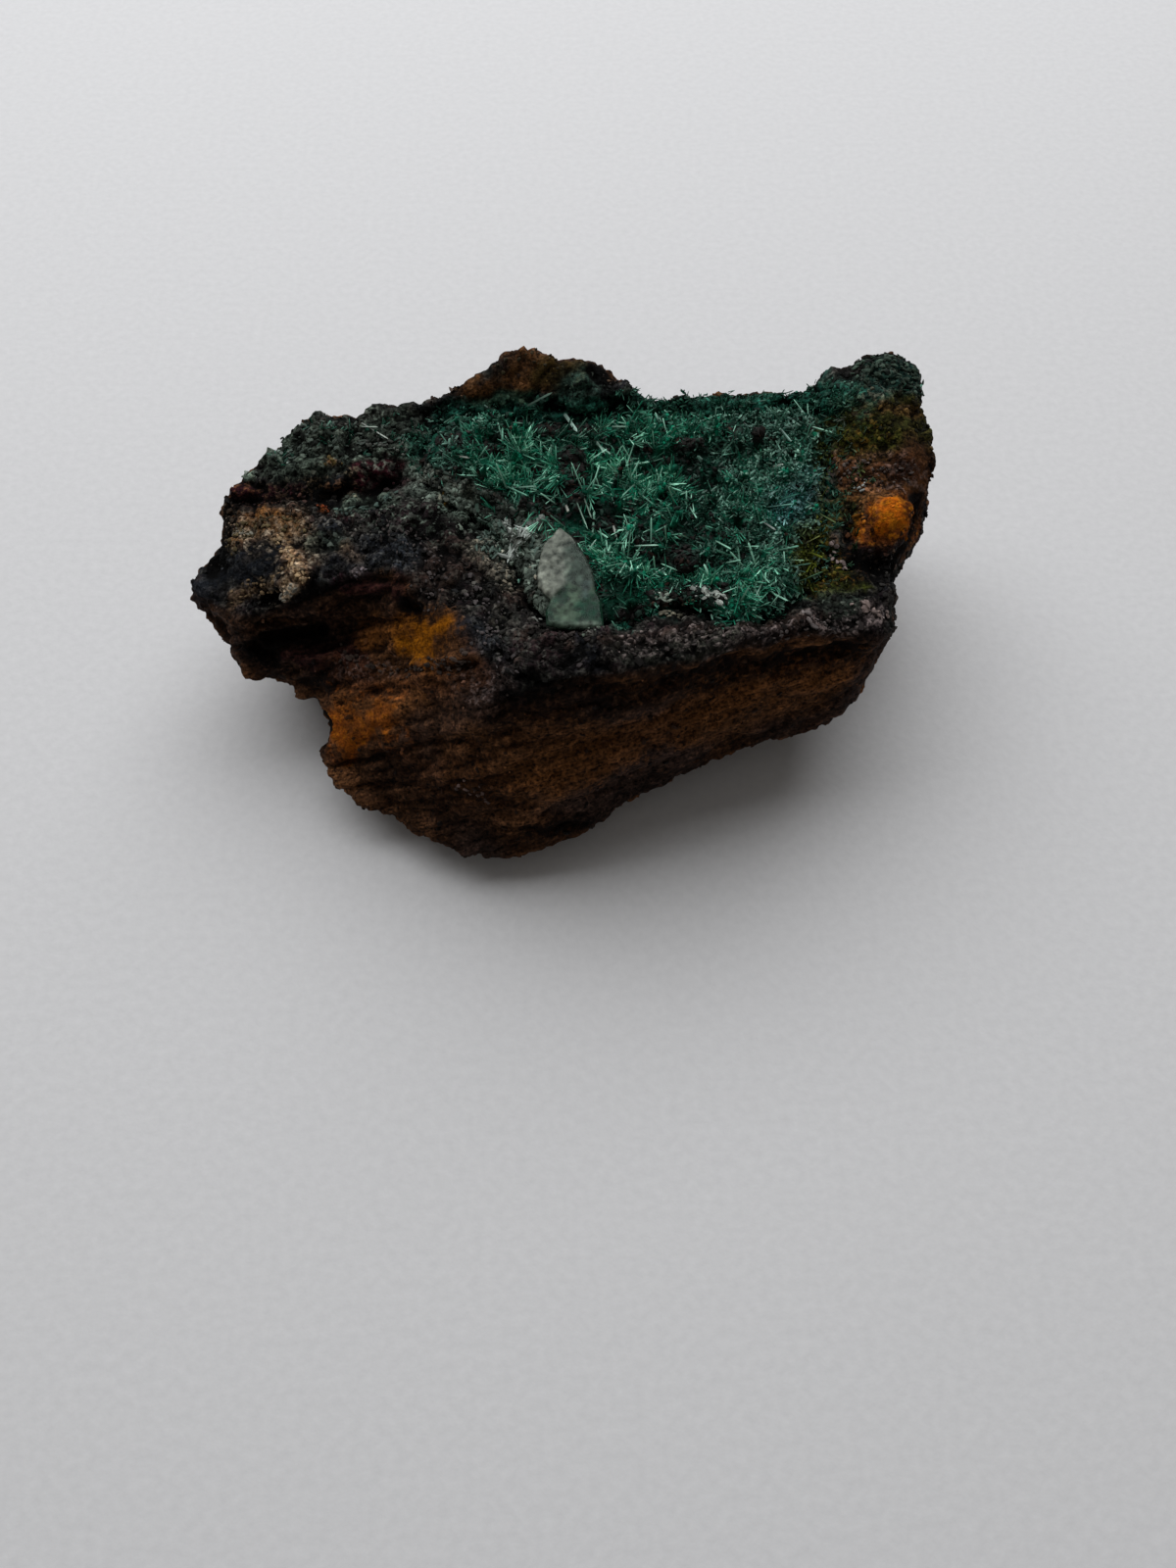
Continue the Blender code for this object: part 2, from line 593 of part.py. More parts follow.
def crust_mesh(height, front, back, outline, shade):
    """The crust as one closed body with its needles."""
    upper, lower = crust_sheets(height, front, back, outline)
    along, across = CRUST_STEPS[0] + 1, CRUST_STEPS[1] + 1
    index = np.arange(along * across).reshape(along, across)
    mesh = bmesh.new()
    top = [mesh.verts.new(point) for point in upper]
    bottom = [mesh.verts.new(point) for point in lower]
    upper_faces = []
    for i in range(along - 1):
        for j in range(across - 1):
            ring = [index[i, j], index[i + 1, j], index[i + 1, j + 1], index[i, j + 1]]
            upper_faces.append(mesh.faces.new([top[k] for k in ring]))
            mesh.faces.new([bottom[k] for k in reversed(ring)])
    border = [*index[:-1, 0], *index[-1, :-1], *index[:0:-1, -1], *index[0, :0:-1]]
    for one, other in zip(border, border[1:] + border[:1]):
        mesh.faces.new([top[other], top[one], bottom[one], bottom[other]])
    mesh.normal_update()
    grow_needles(mesh, upper_faces, outline, shade)
    return mesh


def flake_mesh(corners, normal):
    """A thin clear plate with bevelled edges: three outlines stacked along its thickness."""
    middle = corners.mean(axis=0)
    outwards = corners - middle
    reach = np.linalg.norm(outwards, axis=1)[:, None]
    inset = middle + outwards * (1 - FLAKE_BEVEL / reach)
    layers = [inset, corners - normal * FLAKE_BEVEL, inset - normal * FLAKE_THICKNESS]
    mesh = bmesh.new()
    rings = [[mesh.verts.new(point) for point in layer] for layer in layers]
    mesh.faces.new(rings[0])
    mesh.faces.new(rings[-1][::-1])
    for upper, lower in zip(rings, rings[1:]):
        for k, corner in enumerate(upper):
            after = (k + 1) % len(upper)
            mesh.faces.new([upper[after], corner, lower[k], lower[after]])
    bmesh.ops.recalc_face_normals(mesh, faces=mesh.faces)
    return mesh


def finish(name):
    """The piece's material."""
    colour, roughness, metallic = FINISHES[name]
    material = bpy.data.materials.new(name)
    material.use_nodes = True
    shader = material.node_tree.nodes["Principled BSDF"]
    shader.inputs["Base Color"].default_value = (*colour, 1.0)
    shader.inputs["Roughness"].default_value = roughness
    shader.inputs["Metallic"].default_value = metallic
    return material


def add_piece(name, mesh, shift):
    """Adds a bmesh to the scene as one named object, moved by the shift."""
    bmesh.ops.translate(mesh, vec=Vector(shift), verts=mesh.verts)
    bmesh.ops.triangulate(mesh, faces=mesh.faces)
    data = bpy.data.meshes.new(name)
    mesh.to_mesh(data)
    mesh.free()
    piece = bpy.data.objects.new(name, data)
    piece.data.materials.append(finish(name))
    bpy.context.scene.collection.objects.link(piece)


def as_bmesh(points, faces):
    """A bmesh from plain vertices and faces."""
    mesh = bmesh.new()
    verts = [mesh.verts.new(point) for point in points]
    for face in faces:
        mesh.faces.new([verts[k] for k in face])
    mesh.normal_update()
    return mesh


def main():
    """Builds the rock, the crust and the flake, with the origin under the middle of their box."""
    for thing in list(bpy.data.objects):
        bpy.data.objects.remove(thing)
    height, front, back, outline = rock_top()
    points, faces = matrix_mesh(height, outline)
    corners, normal = flake_plan()
    middle = (points.min(axis=0) + points.max(axis=0)) / 2
    shift = (-middle[0], -middle[1], 0.0)
    add_piece("matrix", as_bmesh(points, faces), shift)
    crust = crust_mesh(height, front, back, outline, corners[:, :2])
    add_piece("brochantite_crust", crust, shift)
    add_piece("clear_flake", flake_mesh(corners, normal), shift)


main()
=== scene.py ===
"""Looks of the brochantite specimen: rusty granular rock, a felt of green needles and a clear flake.

The rock and the bed of the needles are finely meshed copies of their solids, pushed in and out by
seeded noise and by named features. Needles, blades and grains are whole arrays of small crystals
that stand on those skins. Places are given as points of the photograph, read on the rock itself.
"""

import math

import bmesh
import bpy
import numpy as np
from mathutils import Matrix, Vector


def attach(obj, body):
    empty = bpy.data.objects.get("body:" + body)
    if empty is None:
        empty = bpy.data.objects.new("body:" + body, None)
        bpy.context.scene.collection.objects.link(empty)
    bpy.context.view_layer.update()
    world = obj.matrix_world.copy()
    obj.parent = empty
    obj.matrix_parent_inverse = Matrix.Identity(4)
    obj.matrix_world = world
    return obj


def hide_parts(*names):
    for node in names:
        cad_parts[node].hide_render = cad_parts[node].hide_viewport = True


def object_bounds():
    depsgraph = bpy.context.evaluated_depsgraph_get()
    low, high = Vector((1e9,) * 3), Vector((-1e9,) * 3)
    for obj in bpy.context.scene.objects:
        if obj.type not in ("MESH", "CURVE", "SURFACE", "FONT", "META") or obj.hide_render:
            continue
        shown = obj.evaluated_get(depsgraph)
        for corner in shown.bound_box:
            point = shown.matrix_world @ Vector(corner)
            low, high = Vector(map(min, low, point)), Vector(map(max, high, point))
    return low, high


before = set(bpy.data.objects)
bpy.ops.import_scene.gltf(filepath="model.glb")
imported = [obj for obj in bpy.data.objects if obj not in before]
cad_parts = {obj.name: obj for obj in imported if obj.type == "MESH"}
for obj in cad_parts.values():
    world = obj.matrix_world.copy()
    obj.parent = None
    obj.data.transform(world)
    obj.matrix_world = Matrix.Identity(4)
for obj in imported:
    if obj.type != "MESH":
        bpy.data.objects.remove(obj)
cad_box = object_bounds()

MM = 0.001

# The view: where the eye is, how far it looks down, the focal length in the photograph's pixels, the
# photograph's size in pixels and the camera's sensor in millimetres
EYE_PLACE = np.array([1.4498, -38.8575, 59.36]) * MM
VIEW_PITCH = math.radians(62.0)
FOCAL_PIXELS = 1201.7
PHOTO_SIZE = (1200, 1600)
SENSOR = 36.0
RIGHT = np.array([1.0, 0.0, 0.0])
UP = np.array([0.0, math.sin(VIEW_PITCH), math.cos(VIEW_PITCH)])
FORWARD = np.array([0.0, math.cos(VIEW_PITCH), -math.sin(VIEW_PITCH)])

# The voxels of the fine skins, how close vertices of a solid are when they count as one, and how many
# seeded values a noise has along each side of its table
ROCK_VOXEL = 0.190 * MM
BED_VOXEL = 0.150 * MM
FLAKE_VOXEL = 0.070 * MM
MERGE_DISTANCE = 0.001 * MM
NOISE_TABLE = 48

# The direction across the layers of the rock
BEDDING = (-0.275, 0.700, 0.660)

# How many pixels of the photograph the soft edge of an area of colour takes
SOFT_EDGE = 12

# How far the relief may stand above the solid's highest point, and the push that its attribute
# counts as one
TOP_ROOM = 0.12 * MM
RELIEF_UNIT = 0.2 * MM

# Colours of the rock, as reflectances
GREY_ROCK = (0.0165, 0.0145, 0.0135)
GREY_FLECK = (0.050, 0.048, 0.042)
BLUE_BLACK = (0.007, 0.0085, 0.011)
BLACK = (0.0018, 0.0015, 0.0015)
EARTH = (0.055, 0.0235, 0.0095)
DULL_EARTH = (0.028, 0.016, 0.012)
RUST = (0.100, 0.038, 0.011)
DARK_RUST = (0.042, 0.016, 0.007)
ORANGE = (0.185, 0.046, 0.003)
OCHRE = (0.185, 0.060, 0.002)
OCHRE_OLIVE = (0.040, 0.034, 0.006)
BROWN = (0.074, 0.032, 0.011)
DARK_BROWN = (0.036, 0.016, 0.007)
CREST_BROWN = (0.085, 0.042, 0.018)
TAN = (0.098, 0.060, 0.031)
TAN_BROWN = (0.080, 0.042, 0.017)
PALE_TAN = (0.200, 0.120, 0.060)
CREAM = (0.300, 0.240, 0.170)
MAROON = (0.019, 0.004, 0.006)
DARK_PLUM = (0.016, 0.009, 0.011)
OLIVE = (0.020, 0.021, 0.004)
DEEP_GREEN = (0.0050, 0.2100, 0.1150)
# Painted shade in the bed's gaps between clumps of needles
GAP_SHADE_GREEN = (0.0020, 0.0160, 0.0100)
THIN_GREEN = (0.0015, 0.0200, 0.0130)
# Painted shade in the bed's deep hollows
HOLLOW_SHADE_GREEN = (0.0008, 0.0180, 0.0100)
DULL_GREEN = (0.0055, 0.0340, 0.0240)
DARK_FIELD = (0.0030, 0.0320, 0.0220)
# Green of the far rim's inner wall: partly the crust that coats it, partly painted light against its shade
LIT_RIM_GREEN = (0.0120, 0.0640, 0.0450)
MOSS = (0.026, 0.032, 0.004)
BRIGHT_MOSS = (0.036, 0.042, 0.006)
BRIGHT_OCHRE = (0.270, 0.100, 0.004)
LUMP_ORANGE = (0.205, 0.050, 0.002)
TEAL = (0.008, 0.040, 0.030)
GREY_GREEN = (0.034, 0.047, 0.036)
CORNER_GREY = (0.078, 0.100, 0.082)
CORNER_SHADE = (0.018, 0.022, 0.018)
DARK_SLATE = (0.014, 0.030, 0.023)
PALE_GREEN = (0.100, 0.135, 0.105)
PINK_GREY = (0.200, 0.160, 0.155)

# Colours of the needles
MINT = np.array([0.370, 0.730, 0.550])
EMERALD = np.array([0.004, 0.165, 0.093])
DARK_EMERALD = np.array([0.001, 0.060, 0.034])
DUSKY_EMERALD = np.array([0.010, 0.055, 0.038])
SLATE_GREEN = np.array([0.070, 0.180, 0.130])
PALE_HAZE = np.array([0.20, 0.27, 0.23])

# What a needle's colour turns into for its share of green where it is dull or olive, and the factors
# that make it a little bluer
DULL_SHARES = np.array([0.22, 0.50, 0.38])
OLIVE_SHARES = np.array([0.26, 0.32, 0.035])
BLUER = np.array([1.0, 1.0, 1.35])

# Colours of the flake: milky, in shade, clear over green, veiled, bluish, emerald, bright and at its foot
FLAKE_MILK = (0.225, 0.245, 0.205)
FLAKE_SHADE = (0.062, 0.092, 0.074)
FLAKE_CLEAR = (0.018, 0.062, 0.036)
FLAKE_VEIL = (0.090, 0.140, 0.095)
FLAKE_BLUE = (0.070, 0.110, 0.110)
FLAKE_EMERALD = (0.004, 0.070, 0.038)
FLAKE_BRIGHT = (0.230, 0.280, 0.225)
FLAKE_FOOT = (0.190, 0.260, 0.200)


def photo_point(points):
    """Where places appear in the photograph, as its column and row, and how deep they lie."""
    offset = points - EYE_PLACE
    depth = offset @ FORWARD
    column = PHOTO_SIZE[0] / 2 + FOCAL_PIXELS * (offset @ RIGHT) / depth
    row = PHOTO_SIZE[1] / 2 - FOCAL_PIXELS * (offset @ UP) / depth
    return column, row, depth


def smooth_step(value):
    """Zero below 0, one above 1, and 3 v squared minus 2 v cubed between them."""
    value = np.clip(value, 0, 1)
    return value * value * (3 - 2 * value)


def unit(vectors):
    """Vectors scaled to length one."""
    return vectors / np.maximum(np.linalg.norm(vectors, axis=-1, keepdims=True), 1e-12)


def blend(one, other, share):
    """From one value or colour to another by a share."""
    return one + (other - one) * share


def value_noise(points, cell, seed):
    """Noise from -1 to 1: seeded values on a lattice of cells, blended by smooth steps."""
    table = np.random.default_rng(seed).uniform(-1, 1, (NOISE_TABLE,) * 3)
    scaled = points / cell
    corner = np.floor(scaled).astype(int)
    share = smooth_step(scaled - corner)
    total = np.zeros(len(points))
    for step in np.ndindex(2, 2, 2):
        weight = np.prod(np.where(step, share, 1 - share), axis=1)
        total += weight * table[tuple(((corner + step) % NOISE_TABLE).T)]
    return total


def layered_noise(points, cell, seed, layers):
    """Value noise summed over layers, each with half the cell and half the strength of the last."""
    return sum(value_noise(points, cell / 2**k, seed + k) / 2**k for k in range(layers))


def nearest_centres(points, cell, seed):
    """Seeded centres, one in each cell: the height from -1 to 1 of the nearest to each place, and the
    distances to it and to the second nearest, counted in cells."""
    chance = np.random.default_rng(seed)
    table = chance.uniform(0.1, 0.9, (NOISE_TABLE, NOISE_TABLE, NOISE_TABLE, 3))
    heights = chance.uniform(-1, 1, (NOISE_TABLE,) * 3)
    scaled = points / cell
    corner = np.floor(scaled).astype(int)
    first = np.full(len(points), np.inf)
    second = np.full(len(points), np.inf)
    height = np.zeros(len(points))
    for step in np.ndindex(3, 3, 3):
        box = corner + step - 1
        place = tuple((box % NOISE_TABLE).T)
        apart = np.linalg.norm(scaled - box - table[place], axis=1)
        closer = apart < first
        second = np.where(closer, first, np.minimum(second, apart))
        first = np.where(closer, apart, first)
        height = np.where(closer, heights[place], height)
    return height, first, second


def crumbs(points, cell, seed):
    """Rounded lumps, one in each cell: 1 at its centre, falling to 0 with the distance squared."""
    _, first, _ = nearest_centres(points, cell, seed)
    return np.clip(1 - first**2, 0, 1)


def blocks(points, cell, seed):
    """Uneven blocks, one round each seeded centre: a height from -1 to 1 for each block, and the
    distance to the crevice beside it, from the difference of the two nearest centres."""
    height, first, second = nearest_centres(points, cell, seed)
    return height, second - first


def warped(points, cell, amount, seed):
    """Places moved by noise in each direction, so that what is cut from them comes out uneven."""
    shifts = [layered_noise(points, cell, seed + 10 * k, 2) for k in range(3)]
    return points + amount * np.stack(shifts, axis=1)


def inside_distance(across, down, outline):
    """The distance in pixels to a closed outline of the photograph, positive inside it. A place is
    inside where a line from it to the right crosses the outline an odd number of times."""
    where = np.c_[across, down]
    start = np.array(outline, float)
    along = np.roll(start, -1, axis=0) - start
    nearest = np.full(len(where), np.inf)
    crossings = np.zeros(len(where), int)
    for corner, side in zip(start, along):
        offset = where - corner
        share = np.clip(offset @ side / (side @ side), 0, 1)
        nearest = np.minimum(nearest, np.linalg.norm(offset - share[:, None] * side, axis=1))
        rises = (offset[:, 1] < 0) != (offset[:, 1] < side[1])
        level = side[1] if side[1] else 1e-9
        crossings += rises & (offset[:, 0] < offset[:, 1] * side[0] / level)
    return np.where(crossings % 2 == 1, nearest, -nearest)


def line_distance(points, corners):
    """The distance in metres from places to a line through corners, or to its one corner."""
    corners = np.asarray(corners)
    if len(corners) == 1:
        return np.linalg.norm(points - corners[0], axis=1)
    nearest = np.full(len(points), np.inf)
    for start, end in zip(corners, corners[1:]):
        along = end - start
        offset = points - start
        share = np.clip(offset @ along / (along @ along), 0, 1)
        nearest = np.minimum(nearest, np.linalg.norm(offset - share[:, None] * along, axis=1))
    return nearest


def put_mesh(name, points, face_groups, smooth):
    """A new object at the origin from vertices and arrays of faces, one array for each corner count."""
    mesh = bpy.data.meshes.new(name)
    corners = np.concatenate([faces.ravel() for faces in face_groups])
    totals = np.concatenate([np.full(len(faces), faces.shape[1]) for faces in face_groups])
    mesh.vertices.add(len(points))
    mesh.vertices.foreach_set("co", points.astype(np.float32).ravel())
    mesh.loops.add(len(corners))
    mesh.loops.foreach_set("vertex_index", corners.astype(np.int32))
    mesh.polygons.add(len(totals))
    mesh.polygons.foreach_set("loop_start", (np.cumsum(totals) - totals).astype(np.int32))
    mesh.polygons.foreach_set("use_smooth", np.full(len(totals), smooth))
    mesh.update(calc_edges=True)
    mesh.validate()
    piece = bpy.data.objects.new(name, mesh)
    bpy.context.scene.collection.objects.link(piece)
    return piece


def put_colours(piece, name, colours):
    """Keeps one colour for each vertex, as a named attribute."""
    layer = piece.data.attributes.new(name, "FLOAT_COLOR", "POINT")
    layer.data.foreach_set("color", np.c_[colours, np.ones(len(colours))].astype(np.float32).ravel())


def put_values(piece, name, values):
    """Keeps one number for each vertex, as a named attribute."""
    layer = piece.data.attributes.new(name, "FLOAT", "POINT")
    layer.data.foreach_set("value", np.asarray(values, np.float32))


def read_rows(items, name, width, kind):
    """Values of a mesh's items as an array with a row for each."""
    values = np.empty(len(items) * width, kind)
    items.foreach_get(name, values)
    return values.reshape(-1, width)


class Skin:
    """A finely meshed closed surface with its vertices, normals, triangles and photograph places."""

    def __init__(self, piece):
        self.piece = piece
        mesh = piece.data
        mesh.calc_loop_triangles()
        self.points = read_rows(mesh.vertices, "co", 3, np.float32).astype(float)
        self.triangles = read_rows(mesh.loop_triangles, "vertices", 3, np.int32)
        self.edges = read_rows(mesh.edges, "vertices", 2, np.int32)
        self.refresh()

    def refresh(self):
        """Writes the vertices to the mesh and reads normals and photograph places again."""
        mesh = self.piece.data
        mesh.vertices.foreach_set("co", self.points.astype(np.float32).ravel())
        mesh.update()
        self.normals = read_rows(mesh.vertex_normals, "vector", 3, np.float32).astype(float)
        self.column, self.row, self.depth = photo_point(self.points)
        self.facing = (self.normals * unit(EYE_PLACE - self.points)).sum(axis=1)
        self.seen = smooth_step(self.facing / 0.15 + 0.5)

    def average(self, values, rounds):
        """Values blended with the mean of their neighbours along the edges, a number of times."""
        count = np.bincount(self.edges.ravel(), minlength=len(self.points))
        flat = values.reshape(len(values), -1)
        for _ in range(rounds):
            total = np.empty_like(flat)
            for k in range(flat.shape[1]):
                one = np.bincount(self.edges[:, 0], flat[self.edges[:, 1], k], len(flat))
                other = np.bincount(self.edges[:, 1], flat[self.edges[:, 0], k], len(flat))
                total[:, k] = one + other
            flat = 0.5 * flat + 0.5 * total / count[:, None]
        return flat.reshape(values.shape)

    def spot(self, column, row):
        """The place seen at a point of the photograph: the nearest to the eye of the close vertices."""
        apart = np.hypot(self.column - column, self.row - row)
        close = np.flatnonzero(apart < max(4.0, apart.min() + 1.0))
        return self.points[close[np.argmin(self.depth[close])]]

    def radii_from(self, places, radius):
        """The distance from a line of photograph places, counted in radii given in millimetres."""
        corners = [self.spot(*place) for place in places]
        return line_distance(self.points, corners) / (radius * MM)

    def near(self, places, radius):
        """One on a line of photograph places, falling to 0 at a radius in millimetres."""
        return smooth_step(1 - self.radii_from(places, radius))

    def area(self, outline, soft):
        """One inside an outline of the photograph on the side that the eye sees, with a soft edge."""
        distance = inside_distance(self.column, self.row, outline)
        return smooth_step(distance / soft + 0.5) * self.seen

    def scatter(self, count, weight, chance):
        """Seeded places on the triangles, more of them where the weight is larger: places, normals
        and the vertex nearest to each."""
        corners = self.points[self.triangles]
        size = np.linalg.norm(np.cross(corners[:, 1] - corners[:, 0], corners[:, 2] - corners[:, 0]), axis=1)
        size = size * weight[self.triangles].mean(axis=1)
        chosen = chance.choice(len(size), count, p=size / size.sum())
        shares = chance.dirichlet((1, 1, 1), count)
        picked = self.triangles[chosen]
        places = (self.points[picked] * shares[..., None]).sum(axis=1)
        normals = unit((self.normals[picked] * shares[..., None]).sum(axis=1))
        return places, normals, picked[np.arange(count), shares.argmax(axis=1)]


def finer_copy(node, name, voxel, rounds):
    """A skin from a solid: its mesh is merged, cut into even voxels and smoothed a number of times."""
    source = bmesh.new()
    source.from_mesh(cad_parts[node].data)
    bmesh.ops.remove_doubles(source, verts=source.verts, dist=MERGE_DISTANCE)
    rough = bpy.data.meshes.new(name + "_rough")
    source.to_mesh(rough)
    source.free()
    piece = bpy.data.objects.new(name, rough)
    bpy.context.scene.collection.objects.link(piece)
    remesh = piece.modifiers.new("even", "REMESH")
    remesh.mode = "VOXEL"
    remesh.voxel_size = voxel
    remesh.use_smooth_shade = True
    bpy.context.view_layer.update()
    shown = piece.evaluated_get(bpy.context.evaluated_depsgraph_get())
    fine = bpy.data.meshes.new_from_object(shown)
    piece.modifiers.clear()
    piece.data = fine
    fine.name = name
    fine.materials.clear()
    bpy.data.meshes.remove(rough)
    skin = Skin(piece)
    skin.points = skin.average(skin.points, rounds)
    skin.refresh()
    return skin


# Areas of the rock in the photograph
LIP_LINE = [
    (192, 600), (231, 622), (256, 630), (286, 619), (301, 611), (341, 601), (379, 583), (400, 584),
    (422, 595), (425, 620), (460, 620), (481, 643), (490, 665), (504, 690), (509, 715), (545, 704),
    (578, 694), (640, 686), (700, 674), (750, 658), (800, 648), (850, 647), (905, 645),
]
FRONT_BOTTOM = [(960, 660), (960, 900), (150, 900), (150, 600)]
TOP_OUTLINE = LIP_LINE + [(980, 640), (1000, 330), (150, 330), (150, 600)]
GREEN_FIELD = [
    (395, 446), (436, 426), (466, 420), (520, 416), (560, 418), (612, 418), (640, 420), (690, 416),
    (760, 412), (830, 404), (868, 404), (866, 420), (852, 470), (852, 520), (842, 575), (828, 605),
    (800, 622), (770, 636), (735, 630), (690, 612), (655, 632), (625, 642), (614, 610), (604, 570),
    (575, 535), (507, 512), (462, 500), (432, 486), (408, 470),
]
GREY_CORNER = [
    (414, 462), (466, 480), (510, 502), (560, 528), (590, 552), (612, 600), (616, 645), (540, 650),
    (480, 600), (420, 520),
]
CREST = [
    (459, 404), (470, 388), (505, 366), (538, 350), (575, 358), (600, 366), (612, 386), (575, 396),
    (545, 404), (510, 408), (480, 412),
]
BROWN_PATCH = [(846, 468), (880, 452), (930, 450), (965, 455), (965, 520), (920, 512), (872, 512), (850, 500)]
OLIVE_SIDE = [(846, 410), (900, 402), (960, 400), (965, 458), (900, 456), (860, 470), (842, 450)]
HORN = [(800, 404), (866, 378), (880, 352), (945, 350), (950, 400), (900, 412), (850, 420)]
TAN_PATCH = [(215, 560), (225, 525), (270, 518), (325, 525), (330, 560), (318, 595), (290, 605), (270, 570)]
OCHRE_PATCH = [
    (404, 650), (416, 638), (434, 632), (446, 622), (462, 628), (470, 644), (462, 657), (442, 662),
    (432, 678), (422, 674), (406, 668),
]
ORANGE_PATCH = [
    (342, 736), (362, 722), (388, 714), (408, 722), (402, 738), (386, 750), (374, 764), (362, 776),
    (346, 774), (339, 756),
]
MOSS_LOW = [
    (802, 566), (812, 540), (838, 530), (856, 546), (864, 572), (886, 596), (880, 612), (846, 612),
    (818, 606),
]
LUMP = [
    (868, 526), (882, 510), (898, 502), (916, 500), (932, 506), (944, 522), (942, 548), (930, 566),
    (908, 569), (890, 564), (876, 551), (868, 538),
]
LAYERED_HOLLOW = [
    (225, 628), (300, 612), (384, 590), (420, 600), (440, 640), (400, 668), (310, 690), (240, 700),
]

rock = finer_copy("matrix", "rock", ROCK_VOXEL, rounds=5)
bed = finer_copy("brochantite_crust", "needle_bed", BED_VOXEL, rounds=5)


def bedding_place(points, squash):
    """Places in the rock's bedding: stretched across its layers, which rise to the right and dip
    towards the back."""
    layered = points.copy()
    layered[:, 2] = points @ np.array(BEDDING) * squash
    return layered


# The rock's broken face, its granular top, and its sides that the photograph shows and hides
on_front = rock.area(LIP_LINE + FRONT_BOTTOM, soft=14)
on_top = rock.area(TOP_OUTLINE, soft=14)
shown = rock.seen
unseen = 1 - shown

# Features of the rock: photograph places along a line, radius and push in millimetres
CUTS = [
    ([(266, 612), (282, 606)], 0.55, -0.6),
    ([(270, 654), (300, 650), (330, 646)], 0.45, -0.6),
    ([(254, 662), (268, 668), (280, 674)], 0.45, -0.5),
    ([(264, 640), (300, 620), (340, 602)], 0.28, -0.22),
    ([(300, 634), (350, 622), (400, 606)], 0.28, -0.20),
    ([(330, 660), (380, 640), (410, 634)], 0.32, -0.25),
    ([(344, 598), (380, 592), (414, 592)], 0.35, -0.30),
    ([(268, 632), (310, 628), (338, 618)], 0.40, 0.18),
    ([(290, 676), (350, 668), (400, 660)], 0.40, 0.18),
    ([(333, 785), (378, 780), (420, 767), (470, 756)], 0.28, -0.32),
    ([(512, 718), (580, 708), (650, 700), (720, 690), (800, 672), (880, 662)], 0.8, -0.25),
    ([(300, 700), (330, 690), (420, 684), (480, 680)], 0.4, -0.25),
    ([(416, 620), (424, 630)], 0.35, -0.35),
    ([(508, 660), (530, 690)], 0.4, -0.25),
    ([(545, 612), (552, 624)], 0.5, -0.35),
    ([(872, 572), (900, 578), (918, 572)], 0.6, -0.35),
    ([(896, 532), (920, 536)], 2.0, 0.45),
    ([(886, 514), (884, 532), (890, 552)], 0.35, -0.25),
    ([(900, 548), (912, 540), (924, 544)], 0.25, -0.15),
    ([(896, 518), (904, 526), (902, 536)], 0.25, -0.12),
    ([(868, 514), (864, 540), (878, 562)], 0.5, -0.25),
    ([(240, 506), (300, 505), (350, 500), (400, 490)], 0.45, -0.28),
    ([(236, 548), (226, 552)], 0.35, -0.2),
    ([(545, 850), (580, 846), (610, 842)], 0.6, -0.25),
    ([(586, 404), (594, 396)], 1.2, 0.35),
    ([(610, 376), (618, 378), (626, 384)], 0.9, -0.85),
    ([(660, 400), (710, 400), (765, 398)], 0.8, -0.22),
    ([(312, 728), (313, 742), (318, 752)], 1.0, -0.75),
    ([(252, 684), (263, 690)], 0.7, 0.40),
    ([(633, 392)], 0.9, 0.25),
    ([(394, 420)], 0.8, 0.30),
    ([(318, 440)], 0.8, 0.25),
    ([(268, 468)], 0.7, 0.25),
    ([(224, 610), (250, 600)], 0.5, 0.12),
    ([(212, 572), (214, 552), (216, 535)], 1.3, -0.75),
    ([(198, 596), (206, 604)], 0.8, 0.25),
    ([(283, 550), (298, 570), (312, 588)], 0.55, 0.25),
    ([(300, 640), (340, 626), (390, 622)], 0.30, -0.20),
    ([(290, 662), (330, 654), (370, 650)], 0.30, -0.20),
    ([(420, 700), (380, 704), (330, 712)], 0.35, -0.20),
    ([(480, 668), (430, 690), (400, 694)], 0.30, 0.15),
    ([(208, 632), (226, 650)], 0.9, -0.40),
    ([(200, 614), (205, 622)], 0.6, -0.20),
    ([(308, 708), (303, 716)], 0.7, 0.35),
    ([(340, 790), (352, 802), (380, 820)], 1.0, 0.45),
    ([(944, 538), (940, 550), (936, 562)], 1.4, -0.55),
    ([(946, 524), (944, 538)], 1.4, -1.25),
    ([(926, 584), (921, 606)], 1.6, -0.45),
    ([(882, 358), (904, 355), (926, 362)], 1.1, -0.25),
    ([(953, 470), (952, 500)], 0.9, -0.12),
    ([(556, 646), (588, 649), (618, 646)], 0.55, 0.28),
]


